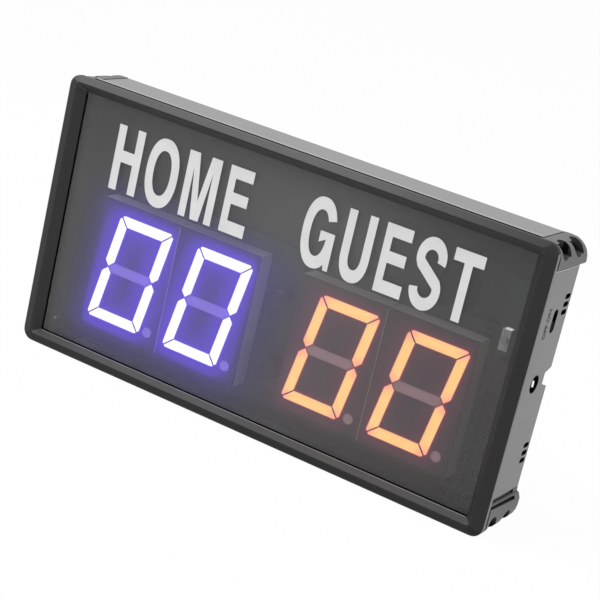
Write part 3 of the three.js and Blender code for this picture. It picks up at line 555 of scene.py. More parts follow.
@dataclass(frozen=True)
class SegmentLight(Finish):
    """The light window of a segment: brighter in its middle, tinted towards its rim."""

    colour: Colour = (0.6, 0.6, 0.6)
    core: Colour = (2.2, 2.2, 2.2)
    rim: Colour = (1.8, 1.7, 2.2)
    corner: Colour = (2.0, 1.9, 2.2)
    roughness: Point = (0.35, 0.5)
    glow_levels: Point = (0.96, 1.03)
    spot_scale: float = 190.0
    frost_scale: float = 900.0
    frost_share: float = 1.12
    frost_depth: float = 0.000006

    def made(self) -> bpy.types.Material:
        """Makes the material."""
        nodes = NodeBoard(self.name)
        frost = nodes.noise(self.frost_scale, detail=2)
        spots = nodes.noise(self.spot_scale, detail=2)
        light = nodes.blend(nodes.ramp(nodes.drawn("rim"), 0.0, 1.0), self.core, self.rim)
        frosted = dimmed(self.colour, self.frost_share)
        return nodes.surface(
            Base_Color=nodes.blend(nodes.spread(frost), self.colour, frosted),
            Roughness=nodes.spread(frost, self.roughness),
            Emission_Color=nodes.blend(nodes.drawn("corner"), light, self.corner),
            Emission_Strength=nodes.spread(spots, self.glow_levels),
            Normal=nodes.bump(frost, self.frost_depth),
        )


@dataclass(frozen=True)
class PrintedInk(Finish):
    """Screen-printed ink, a little uneven and finely pitted."""

    colour: Colour = (0.8, 0.8, 0.8)
    shade: Colour = (0.7, 0.7, 0.7)
    roughness: Point = (0.48, 0.6)
    specular: float = 0.3
    cloud_scale: float = 90.0
    pit_scale: float = 1700.0
    pit_span: Point = (0.6, 0.74)
    pit_share: float = 0.5
    pit_depth: float = 0.000008

    def made(self) -> bpy.types.Material:
        """Makes the material."""
        nodes = NodeBoard(self.name)
        clouds = nodes.noise(self.cloud_scale, detail=4)
        pits = nodes.ramp(nodes.noise(self.pit_scale, detail=2), *self.pit_span)
        base = nodes.blend(nodes.spread(clouds), self.shade, self.colour)
        base = nodes.blend(nodes.maths("MULTIPLY", pits, self.pit_share), base, self.shade)
        return nodes.surface(
            Base_Color=base,
            Roughness=nodes.spread(clouds, self.roughness),
            Specular_IOR_Level=self.specular,
            Normal=nodes.bump(pits, self.pit_depth),
        )


@dataclass(frozen=True)
class BoardMask(Finish):
    """Solder mask over copper tracks, with bright pads and the weave of the glass cloth."""

    colour: Colour = (0.01, 0.03, 0.02)
    track: Colour = (0.022, 0.05, 0.036)
    pad: Colour = (0.1, 0.1, 0.09)
    roughness: Point = (0.3, 0.42)
    track_scale: float = 160.0
    track_width: float = 0.05
    track_offset: float = 0.35
    track_rise: float = 0.6
    pad_scale: float = 210.0
    pad_span: Point = (0.2, 0.17)
    pad_share: float = 0.8
    pad_metal: float = 0.4
    cloth_scale: float = 1200.0
    cloth_depth: float = 0.00001

    def made(self) -> bpy.types.Material:
        """Makes the material."""
        nodes = NodeBoard(self.name)
        tracks = nodes.node("ShaderNodeTexBrick", offset=self.track_offset)
        flat = nodes.node("ShaderNodeCombineXYZ")
        for socket, axis in zip(flat.inputs, "XZ"):
            nodes.feed(socket, nodes.own_axis(axis))
        nodes.feed(tracks.inputs["Vector"], flat.outputs[0])
        for name, level in (("Color1", 0), ("Color2", 0), ("Mortar", 255)):
            nodes.feed(tracks.inputs[name], grey(level))
        tracks.inputs["Scale"].default_value = self.track_scale
        tracks.inputs["Mortar Size"].default_value = self.track_width
        pads = nodes.node("ShaderNodeTexVoronoi", feature="F1")
        pads.inputs["Scale"].default_value = self.pad_scale
        nodes.feed(pads.inputs["Vector"], flat.outputs[0])
        pad = nodes.ramp(pads.outputs["Distance"], *self.pad_span)
        copper = nodes.node("ShaderNodeRGBToBW")
        nodes.feed(copper.inputs[0], tracks.outputs["Color"])
        cloth = nodes.noise(self.cloth_scale, detail=1)
        base = nodes.blend(copper.outputs[0], self.colour, self.track)
        base = nodes.blend(nodes.maths("MULTIPLY", pad, self.pad_share), base, self.pad)
        rise = nodes.maths("MULTIPLY", copper.outputs[0], self.track_rise)
        raised = nodes.maths("ADD", rise, pad)
        return nodes.surface(
            Base_Color=base,
            Roughness=nodes.spread(cloth, self.roughness),
            Metallic=nodes.maths("MULTIPLY", pad, self.pad_metal),
            Normal=nodes.bump(nodes.maths("ADD", raised, cloth), self.cloth_depth),
        )


class Finishes:
    """The finishes of the scoreboard."""

    BEZEL = MouldedPlastic(
        "black_crowned_bezel", grey(38), grey(80), roughness=0.46, specular=0.3, grain=1700.0,
        grain_depth=0.000012, edge_share=0.4, recess=0.0016,
    )
    # Lit and shaded copies of the bezel's black, given by where a facet faces: painted light and
    # shade
    BEZEL_UPPER_LIT = replace(
        BEZEL, name="black_bezel_painted_lit_upper_slope", colour=grey(46), edge=grey(84), recess=0.0012
    )
    BEZEL_BOTTOM_LIT = replace(BEZEL_UPPER_LIT, name="black_bezel_painted_lit_lower_slope", colour=grey(58))
    BEZEL_FLANK_SHADED = replace(
        BEZEL, name="black_bezel_painted_shade_side_bevel", colour=grey(31), edge=grey(66), roughness=0.48,
        specular=0.24,
    )
    BEZEL_SHADED = replace(
        BEZEL_UPPER_LIT, name="black_bezel_shaded_side", colour=grey(28), edge=grey(60), roughness=0.5,
        specular=0.16,
    )
    # painted highlight on the top bevel, fading towards the right
    TOP_BEVEL_HIGHLIGHT = replace(
        BEZEL_UPPER_LIT, name="bezel_top_painted_highlight", colour=grey(78), edge=grey(98), roughness=0.5,
        specular=0.12, edge_share=0.3, highlight_end_share=0.3,
    )
    # the grey rim, painted lit; the left and bottom rims take painted shade
    LIT_GREY_BORDER = MouldedPlastic(
        "satin_grey_painted_lit_rim", grey(112), grey(144), specular=0.35, grain=1700.0, grain_depth=0.000012,
        mottle=0.06,
    )
    # painted highlight along the foot of the bezel's slope
    FOOT_HIGHLIGHT = MouldedPlastic(
        "bezel_foot_painted_highlight", grey(142), grey(168), roughness=0.4, grain=1700.0,
        grain_depth=0.000008, mottle=0.06, recess=0.001, recess_open=0.4,
    )
    END_PANEL = MouldedPlastic(
        "grained_grey_end_panel", grey(120), grey(146), roughness=0.52, specular=0.35,
        grain=1300.0, mottle=0.08,
    )
    BLOCK = MouldedPlastic(
        "grained_grey_corner", grey(91), grey(132), specular=0.35, grain=1300.0, edge_share=0.55,
        recess=0.006, recess_open=0.86,
    )
    COVER = MouldedPlastic(
        "coarse_grained_rear_cover", grey(52), grey(96), roughness=0.58, specular=0.35,
        grain=800.0, grain_depth=0.00004,
    )
    HOUSING = MouldedPlastic(
        "pale_reflector_housing", grey(226), grey(236), roughness=0.55, specular=0.35,
        grain=1400.0, grain_depth=0.00001, edge_share=0.3, mottle=0.05,
    )
    # painted highlight along each end panel's upper edge
    UPPER_EDGE_HIGHLIGHT = MouldedPlastic(
        "bead_painted_highlight", grey(196), grey(214), roughness=0.4, grain_depth=0.000006,
        edge_share=0.3, mottle=0.05,
    )
    # painted shade on the walls of the corner blocks' vents
    VENT = MouldedPlastic(
        "shaded_vent_wall", grey(50), grey(84), roughness=0.6, specular=0.2, grain=1300.0,
        edge_share=0.4, recess_open=0.8,
    )
    BLACK = MouldedPlastic(
        "plain_black_moulding", grey(26), grey(70), roughness=0.42, grain=1600.0,
        grain_depth=0.00001,
    )
    SLIDE = replace(
        BLACK, name="matt_black_slide", colour=grey(12), edge=grey(34), roughness=0.75,
        specular=0.06, edge_share=0.4,
    )
    # painted shade on walls inside the body
    INSIDE = replace(
        SLIDE, name="shaded_inner_wall", colour=grey(9), edge=grey(16), grain=1200.0,
        edge_share=0.2,
    )
    # painted shadow in seams and gaps
    SHADOW_STRIP = replace(
        INSIDE, name="black_painted_shadow_strip", colour=grey(3), edge=grey(5), roughness=0.85,
        specular=0.02,
    )
    EPOXY = replace(
        BLACK, name="laser_dull_chip_epoxy", colour=grey(30), edge=grey(60), roughness=0.6,
        specular=0.3, grain=2400.0, edge_share=0.4,
    )
    SLEEVE = MouldedPlastic(
        "shrunk_capacitor_sleeve", grey(28), grey(80), roughness=0.25, specular=0.5, grain=500.0,
        grain_depth=0.000006, edge_share=0.4,
    )
    RESIN = MouldedPlastic(
        "milky_receiver_resin", grey(222), grey(245), roughness=0.25, specular=0.5, grain=900.0,
        grain_depth=0.000006, mottle=0.06,
    )
    RAIL = DrawnMetal(
        "anodised_grey_rail", grey(124), grey(166), metallic=0.15, roughness=0.46
    )
    # painted highlight on the top rail's front edge
    RAIL_HIGHLIGHT = replace(RAIL, name="rail_edge_painted_highlight", colour=grey(150), edge=grey(180))
    PLATED = DrawnMetal(
        "tin_plated_sheet", grey(190), grey(225), metallic=1.0, roughness=0.28,
        lines=(300.0, 300.0, 40.0),
    )
    STEEL = DrawnMetal(
        "blackened_screw_steel", grey(84), grey(150), metallic=1.0, roughness=0.36,
        lines=(500.0, 60.0, 500.0),
    )
    BLACK_OXIDE = replace(
        STEEL, name="black_oxide_steel", colour=grey(40), edge=grey(70), metallic=0.8,
        roughness=0.5,
    )
    CONTACT = DrawnMetal(
        "bright_contact_face", grey(250), grey(255), metallic=1.0, roughness=0.14,
        lines=(900.0, 900.0, 60.0), line_depth=0.000002, variation=0.03, recess_open=0.02,
    )
    PANEL = SmokedAcrylic("smoked_panel_sheet", grey(82))
    BOARD = BoardMask("masked_circuit_board")
    WHITE_INK = PrintedInk("white_printed_ink", grey(209), grey(201))
    DARK_INK = PrintedInk("dark_stamped_mark", grey(30), grey(40))
    JOINT = PrintedInk("dark_joint_line", grey(34), grey(28))
    VIOLET_FILM = GlowingFilm("film_in_violet_light", tone(40, 38, 46))
    WARM_FILM = GlowingFilm(
        "film_in_warm_light", tone(60, 56, 58), near=(0.36, 0.0, 0.0), wide=(0.035, 0.008, 0.03)
    )
    WHITE_LIGHT = SegmentLight(
        "cool_white_segment", grey(200), core=(2.4, 2.35, 2.4), rim=(2.0, 1.9, 2.5),
        corner=(2.2, 2.1, 2.4),
    )
    WARM_LIGHT = SegmentLight(
        "orange_segment", tone(225, 190, 150), core=(2.25, 1.14, 0.34), rim=(1.8, 0.85, 0.45),
        corner=(2.0, 0.36, 0.5),
    )
    # Unlit segments and dividers glow with painted light from the lit segments
    VIOLET_IDLE = SegmentLight(
        "unlit_segment_in_violet", grey(96), core=(0.31, 0.2, 1.1), rim=(0.25, 0.15, 1.0),
        corner=(0.29, 0.18, 1.05),
    )
    WARM_IDLE = SegmentLight(
        "unlit_segment_in_warm", grey(96), core=(0.36, 0.2, 0.24), rim=(0.26, 0.13, 0.16),
        corner=(0.33, 0.16, 0.19),
    )
    VIOLET_DIVIDER = SegmentLight("divider_in_violet", grey(120), *[(0.18, 0.12, 0.6)] * 3)
    WARM_DIVIDER = SegmentLight("divider_in_warm", grey(120), *[(0.13, 0.09, 0.1)] * 3)
    # painted glint on the infrared receiver's upper edge
    RECEIVER_GLINT = SegmentLight(
        "receiver_painted_glint", grey(210), core=(1.1, 1.1, 1.12), rim=(0.9, 0.9, 0.92),
        corner=(1.0, 1.0, 1.0),
    )


# The bench


MERGE_GAP = 0.000002  # metres between points that are one
FLAT_ANGLE = 0.6  # degrees between facets that are one


class Bench:
    """Selecting, shaping and settling meshes with the modeller's own operators."""

    @staticmethod
    def pick(*pieces: bpy.types.Object) -> None:
        """Selects these pieces alone, the first one active."""
        bpy.ops.object.select_all(action="DESELECT")
        for piece in pieces:
            piece.select_set(True)
        bpy.context.view_layer.objects.active = pieces[0]

    @staticmethod
    @contextmanager
    def editing(piece: bpy.types.Object) -> Iterator[None]:
        """Edit mode on one piece, all of it selected."""
        Bench.pick(piece)
        bpy.ops.object.mode_set(mode="EDIT")
        bpy.ops.mesh.select_all(action="SELECT")
        yield
        bpy.ops.object.mode_set(mode="OBJECT")

    @staticmethod
    def choose_faces(
        piece: bpy.types.Object, wanted: Callable[[bmesh.types.BMFace], bool]
    ) -> None:
        """Selects faces in edit mode.

        Args:
            piece: The piece being edited.
            wanted: Tells which faces.
        """
        bpy.ops.mesh.select_mode(type="FACE")
        bpy.ops.mesh.select_all(action="DESELECT")
        shape = bmesh.from_edit_mesh(piece.data)
        shape.normal_update()
        for face in shape.faces:
            face.select_set(wanted(face))
        bmesh.update_edit_mesh(piece.data)

    @staticmethod
    def new_piece(name: str) -> bpy.types.Object:
        """The object that was just made, with its name."""
        piece = bpy.context.active_object
        piece.name = name
        piece.data.name = name
        return piece

    @staticmethod
    def use(piece: bpy.types.Object, kind: str, **settings: object) -> None:
        """Adds a modifier and applies it.

        Args:
            piece: The piece.
            kind: The modifier's type.
            **settings: Its settings.
        """
        modifier = piece.modifiers.new(kind.lower(), kind)
        for key, value in settings.items():
            setattr(modifier, key, value)
        Bench.pick(piece)
        bpy.ops.object.modifier_apply(modifier=modifier.name)

    @staticmethod
    def soften(piece: bpy.types.Object, width: float, steps: int = 2, angle: float = 30) -> None:
        """Rounds the sharp edges.

        Args:
            piece: The piece.
            width: The rounding in millimetres.
            steps: Its faces across.
            angle: From which angle an edge is sharp, in degrees.
        """
        limit = {"limit_method": "ANGLE", "angle_limit": math.radians(angle)}
        Bench.use(piece, "BEVEL", width=width * MM, segments=steps, **limit)
        Bench.smooth(piece)
        Bench.use(piece, "WEIGHTED_NORMAL", keep_sharp=True)

    @staticmethod
    def smooth(piece: bpy.types.Object, angle: float = 38) -> None:
        """Shades a piece smooth up to an angle in degrees."""
        Bench.pick(piece)
        bpy.ops.object.shade_smooth_by_angle(angle=math.radians(angle))

    @staticmethod
    def added(name: str, add: Callable[..., set[str]], **settings: object) -> bpy.types.Object:
        """Adds a primitive with nothing else selected.

        Args:
            name: The piece's name.
            add: The operator that adds it.
            **settings: The operator's settings.

        Returns:
            The piece.
        """
        bpy.ops.object.select_all(action="DESELECT")
        add(**settings)
        return Bench.new_piece(name)

    @staticmethod
    def thicken(thickness: float) -> None:
        """Extrudes the flat mesh that is being edited backwards, in millimetres."""
        bpy.ops.mesh.select_all(action="SELECT")
        bpy.ops.mesh.extrude_region_move(TRANSFORM_OT_translate={"value": (0, thickness * MM, 0)})
        bpy.ops.mesh.select_all(action="SELECT")
        bpy.ops.mesh.normals_make_consistent(inside=False)

    @staticmethod
    def sheet(
        name: str, half: Point, middle: Point, front: float, rear: float, cells: tuple[int, int]
    ) -> bpy.types.Object:
        """A flat sheet with a fine grid, standing across the depth.

        Args:
            name: The piece's name.
            half: Its half width and half height.
            middle: Its middle, across and up.
            front: The depth of its front.
            rear: The depth of its rear.
            cells: How many cells it has across and up.

        Returns:
            The sheet.
        """
        grid = bpy.ops.mesh.primitive_grid_add
        piece = Bench.added(name, grid, x_subdivisions=cells[0], y_subdivisions=cells[1], size=2)
        with Bench.editing(piece):
            bpy.ops.transform.resize(value=(half[0] * MM, half[1] * MM, 1))
        piece.data.transform(Matrix.Rotation(QUARTER, 4, "X"))
        piece.data.transform(Matrix.Translation(spot(middle[0], front, middle[1])))
        with Bench.editing(piece):
            Bench.thicken(rear - front)
        return piece

    @staticmethod
    def plate(
        name: str, outline: Sequence[Point], front: float, rear: float, round_off: float = 0.0
    ) -> bpy.types.Object:
        """A flat plate of an outline, standing across the depth.

        Args:
            name: The piece's name.
            outline: Its corners, across and up, in millimetres.
            front: The depth of its front.
            rear: The depth of its rear.
            round_off: The rounding of its edges.

        Returns:
            The plate.
        """
        circle = bpy.ops.mesh.primitive_circle_add
        piece = Bench.added(name, circle, vertices=len(outline), fill_type="NGON")
        for vertex, (across, up) in zip(piece.data.vertices, outline):
            vertex.co = spot(across, front, up)
        with Bench.editing(piece):
            Bench.thicken(rear - front)
        if round_off:
            Bench.soften(piece, round_off)
        return piece

    @staticmethod
    def strips(
        name: str,
        outlines: Sequence[Sequence[Point]],
        span: Point,
        round_off: float,
        finish: Finish,
        slot: Slot = Slot.BLACK,
    ) -> None:
        """Stands plates between two depths and settles them as one piece.

        Args:
            name: The piece's name.
            outlines: Each plate's corners, across and up, in millimetres.
            span: The depths of their fronts and rears.
            round_off: The rounding of their edges.
            finish: Their finish.
            slot: The record's slot.
        """
        plates = [Bench.plate(name, outline, *span, round_off) for outline in outlines]
        Bench.settle(Bench.joined(name, plates), finish, slot)

    @staticmethod
    def joined(name: str, pieces: Sequence[bpy.types.Object]) -> bpy.types.Object:
        """Pieces joined under one name."""
        Bench.pick(*pieces)
        if len(pieces) > 1:
            bpy.ops.object.join()
        return Bench.new_piece(name)

    @staticmethod
    def copy_of(node: str, name: str) -> bpy.types.Object:
        """A merged copy of a node of the frame, for finishing.

        Args:
            node: The node.
            name: The copy's name.

        Returns:
            The copy.
        """
        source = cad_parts[node]
        piece = bpy.data.objects.new(name, source.data.copy())
        bpy.context.scene.collection.objects.link(piece)
        piece.data.name = name
        piece.data.materials.clear()
        with Bench.editing(piece):
            bpy.ops.mesh.customdata_custom_splitnormals_clear()
            bpy.ops.mesh.remove_doubles(threshold=MERGE_GAP)
            bpy.ops.mesh.dissolve_limited(angle_limit=math.radians(FLAT_ANGLE))
        return piece

    @staticmethod
    def draw(piece: bpy.types.Object, name: str, values: np.ndarray) -> None:
        """Writes a value at each vertex, under an attribute's name."""
        attribute = piece.data.attributes.new(name, "FLOAT", "POINT")
        attribute.data.foreach_set("value", values.astype(np.float32))

    @staticmethod
    def points(piece: bpy.types.Object) -> np.ndarray:
        """A piece's vertices, across, depth and height, in millimetres."""
        flat = np.empty(len(piece.data.vertices) * 3)
        piece.data.vertices.foreach_get("co", flat)
        return flat.reshape(-1, 3) / MM + (0, DEPTH_ZERO, 0)

    @staticmethod
    def settle(
        piece: bpy.types.Object,
        finish: Finish,
        slot: Slot,
        replaced: Sequence[str] = (),
    ) -> None:
        """Dresses a finished piece and puts it on its body.

        Args:
            piece: The piece, at its place.
            finish: Its finish.
            slot: The record's slot, not used.
            replaced: The nodes that it stands for.
        """
        if not piece.data.materials:
            piece.data.materials.append(finish.material())
        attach(piece, BODY)
        if replaced:
            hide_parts(*replaced)
        log.info("%s: %d faces, %s", piece.name, len(piece.data.polygons), finish.name)

    @staticmethod
    def dress(node: str, finish: Finish) -> None:
        """Gives a node of the frame its finish."""
        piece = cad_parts[node]
        piece.data.materials.clear()
        piece.data.materials.append(finish.material())
        log.info("%s: the frame's own solid, %s", node, finish.name)


# Outlines


def oval(
    middle: Point, half: Point, start: float, end: float, steps: int, square: float = 2.0
) -> list[Point]:
    """Points of an oval that may be squarer than an ellipse.

    Args:
        middle: Its middle.
        half: Its half width and half height.
        start: The first angle in degrees.
        end: The last angle in degrees.
        steps: How many steps between them.
        square: 2 for an ellipse, more for a squarer one.

    Returns:
        The points.
    """
    points = []
    for step in range(steps + 1):
        angle = math.radians(start + (end - start) * step / steps)
        across, up = math.cos(angle), math.sin(angle)
        points.append(
            (
                middle[0] + half[0] * math.copysign(abs(across) ** (2 / square), across),
                middle[1] + half[1] * math.copysign(abs(up) ** (2 / square), up),
            )
        )
    return points


def rectangle(left: float, right: float, low: float, high: float) -> list[Point]:
    """The corners of a rectangle, from its lower left one."""
    return [(left, low), (right, low), (right, high), (left, high)]


def both_halves(half: Sequence[Point], middle: float) -> list[Point]:
    """A left half and its mirror image as one outline, from the half's first point."""
    return [*half, *((2 * middle - x, z) for x, z in reversed(half))]


def stroke(spine: Sequence[Point], width: float, narrow: float) -> list[Point]:
    """The outline of a stroke that is narrower where it runs upwards.

    Args:
        spine: The stroke's middle line.
        width: Its width where it runs across.
        narrow: Its width where it runs upwards, as a share.

    Returns:
        The outline.
    """
    line = np.array(spine)
    way = np.gradient(line, axis=0) / (narrow, 1)
    way /= np.linalg.norm(way, axis=1)[:, None]
    side = np.stack([-way[:, 1] * narrow, way[:, 0]], axis=1) * width / 2
    return [tuple(point) for point in np.concatenate([line + side, (line - side)[::-1]])]


def mirrored(outline: Sequence[Point], across: bool, up: bool) -> list[Point]:
    """An outline turned over, left to right, top to bottom or both."""
    return [(-x if across else x, -z if up else z) for x, z in outline]


def distance_to(points: np.ndarray, outline: Sequence[Point]) -> np.ndarray:
    """How far points are from a closed outline.

    Args:
        points: Points across and up.
        outline: The outline's corners.

    Returns:
        The distances, all positive.
    """
    corners = np.array(outline)
    nearest = np.full(len(points), FAR)
    for start, end in zip(corners, np.roll(corners, -1, axis=0)):
        along = end - start
        share = np.clip((points - start) @ along / max(along @ along, 1e-12), 0, 1)
        foot = start + share[:, None] * along
        nearest = np.minimum(nearest, np.linalg.norm(points - foot, axis=1))
    return nearest


def nearest_of(points: np.ndarray, outlines: Sequence[Sequence[Point]]) -> np.ndarray:
    """How far points are from the nearest of several outlines."""
    return np.min([distance_to(points, outline) for outline in outlines], axis=0)


def climb(values: np.ndarray, start: float, end: float, least: float = 0.0) -> np.ndarray:
    """How far values have come from one value to another, kept from a least share to 1."""
    return np.clip((values - start) / (end - start), least, 1)


def hill(values: np.ndarray, middle: float, width: float) -> np.ndarray:
    """A soft hill, 1 in its middle."""
    return np.exp(-(((values - middle) / width) ** 2))


def measured(place: Vector) -> Triple:
    """How far from the middle, how deep and how high a place is, in millimetres."""
    return abs(place.x) / MM, place.y / MM + DEPTH_ZERO, place.z / MM


# Sub-assemblies


@dataclass
class FrontBezel:
    """The crowned black bezel, with a satin grey rim painted lit along its top and right edges."""

    rim_depth: float = -0.25
    half_width: float = 120.0
    height: float = 125.0
    edge_reach: float = 1.6
    top_reach: float = 3.2
    round_off: float = 0.1
    sharp_angle: float = 14.0
    upward: float = 0.3
    slanted: float = 0.15
    frontward: float = 0.95
    edgeward: float = 0.7
    finishes: tuple[Finish, ...] = (
        Finishes.BEZEL,
        Finishes.LIT_GREY_BORDER,
        Finishes.TOP_BEVEL_HIGHLIGHT,
        Finishes.BEZEL_BOTTOM_LIT,
        Finishes.BEZEL_FLANK_SHADED,
        Finishes.BEZEL_UPPER_LIT,
        Finishes.BEZEL_SHADED,
    )

    def build(self) -> None:
        """Builds and dresses the bezel."""
        piece = Bench.copy_of("front_bezel", "bezel_shell")
        Bench.soften(piece, self.round_off, angle=self.sharp_angle)
        for finish in self.finishes:
            piece.data.materials.append(finish.material())
        for face in piece.data.polygons:
            face.material_index = self.finishes.index(self.finish_of(face.center, face.normal))
        Bench.settle(piece, Finishes.BEZEL, Slot.BEZEL, ["front_bezel"])

    def finish_of(self, place: Vector, normal: Vector) -> Finish:
        """The finish of a facet: a lit or shaded copy, painted light and shade by where it faces.

        Args:
            place: The facet's middle.
            normal: Where it faces.

        Returns:
            The finish.
        """
        across, depth, up = place.x / MM, place.y / MM + DEPTH_ZERO, place.z / MM
        if normal.z > self.upward and up > self.height - self.top_reach:
            return Finishes.TOP_BEVEL_HIGHLIGHT
        outward = abs(normal.x) + abs(normal.z) > self.edgeward
        if depth > self.rim_depth and outward and self.is_outer(across, up):
            shaded = across < -self.half_width + self.edge_reach or up < self.edge_reach
            return Finishes.BEZEL_SHADED if shaded else Finishes.LIT_GREY_BORDER
        if normal.z < -self.slanted:
            return Finishes.BEZEL_UPPER_LIT if up > self.height / 2 else Finishes.BEZEL_SHADED
        if normal.z > self.upward:
            return Finishes.BEZEL_BOTTOM_LIT
        faces_out = normal.x * across > self.slanted * abs(across)
        faces_front = normal.y < -self.frontward
        return Finishes.BEZEL_FLANK_SHADED if faces_out or faces_front else Finishes.BEZEL

    def is_outer(self, across: float, up: float) -> bool:
        """Whether a place lies on the outer edge."""
        near = self.edge_reach
        return abs(across) > self.half_width - near or up < near or up > self.height - near


@dataclass
class SmokedPanel:
    """The smoked sheet, gridded so that the digits' glow and a sheen, both painted, can be drawn
    on it.
    """

    half_width: float = 112.5
    low: float = 5.3
    high: float = 119.7
    front: float = 2.0
    rear: float = 4.0
    cells: tuple[int, int] = (90, 46)
    round_off: float = 0.15
    violet_reach: float = 11.0
    red_reach: float = 6.0
    haze_head: Point = (93.0, 75.0)
    haze_foot: Point = (-4.0, 18.0)
    least_foot: float = 0.4
    haze_left: Point = (-108.0, -88.0)

    def build(self, digits: "DigitBank") -> None:
        """Builds and dresses the panel, in which the digits' light spreads."""
        half = (self.half_width, (self.high - self.low) / 2)
        middle = (0.0, (self.high + self.low) / 2)
        name = "smoked_panel_sheet"
        piece = Bench.sheet(name, half, middle, self.front, self.rear, self.cells)
        Bench.soften(piece, self.round_off)
        place = Bench.points(piece)[:, [0, 2]]
        self.draw_haze(piece, place, digits)
        self.draw_sheen(piece, *place.T)
        Bench.settle(piece, Finishes.PANEL, Slot.PANEL, ["smoked_panel"])

    def draw_haze(self, piece: bpy.types.Object, place: np.ndarray, digits: "DigitBank") -> None:
        """Draws how much of each pair's light reaches a place, as painted glow.

        Args:
            piece: The sheet.
            place: Its vertices, across and up.
            digits: The digits.
        """
        across, up = place.T
        fade = climb(up, *self.haze_head) * climb(up, *self.haze_foot, self.least_foot)
        for side, name, reach in (
            (-1, "violet_haze", self.violet_reach),
            (1, "red_haze", self.red_reach),
        ):
            outlines = [digits.lit_outlines(middle) for middle in digits.middles(side)]
            gap = nearest_of(place, sum(outlines, []))
            left_fade = climb(across, *self.haze_left) if side < 0 else 1.0
            Bench.draw(piece, name, np.exp(-gap / reach) * fade * left_fade)

    @staticmethod
    def draw_sheen(piece: bpy.types.Object, across: np.ndarray, up: np.ndarray) -> None:
        """Draws the sheet's painted sheen and, in its upper left corner and foot, painted shade.

        Args:
            piece: The sheet.
            across: How far to the right each vertex is.
            up: How high each vertex is.
        """
        leftwards = 0.42 * climb(across, 100, 25)
        between_words = 0.5 * hill(across, 12, 52) * hill(up, 98, 24)
        dark_corner = 0.22 * hill(across, -104, 16) * hill(up, 104, 16)
        dark_foot = 0.12 * climb(up, 24, 8)
        left_edge = 0.24 * hill(across, -110, 9)
        sheen = leftwards + between_words + left_edge - dark_corner - dark_foot
        Bench.draw(piece, "sheen", sheen)


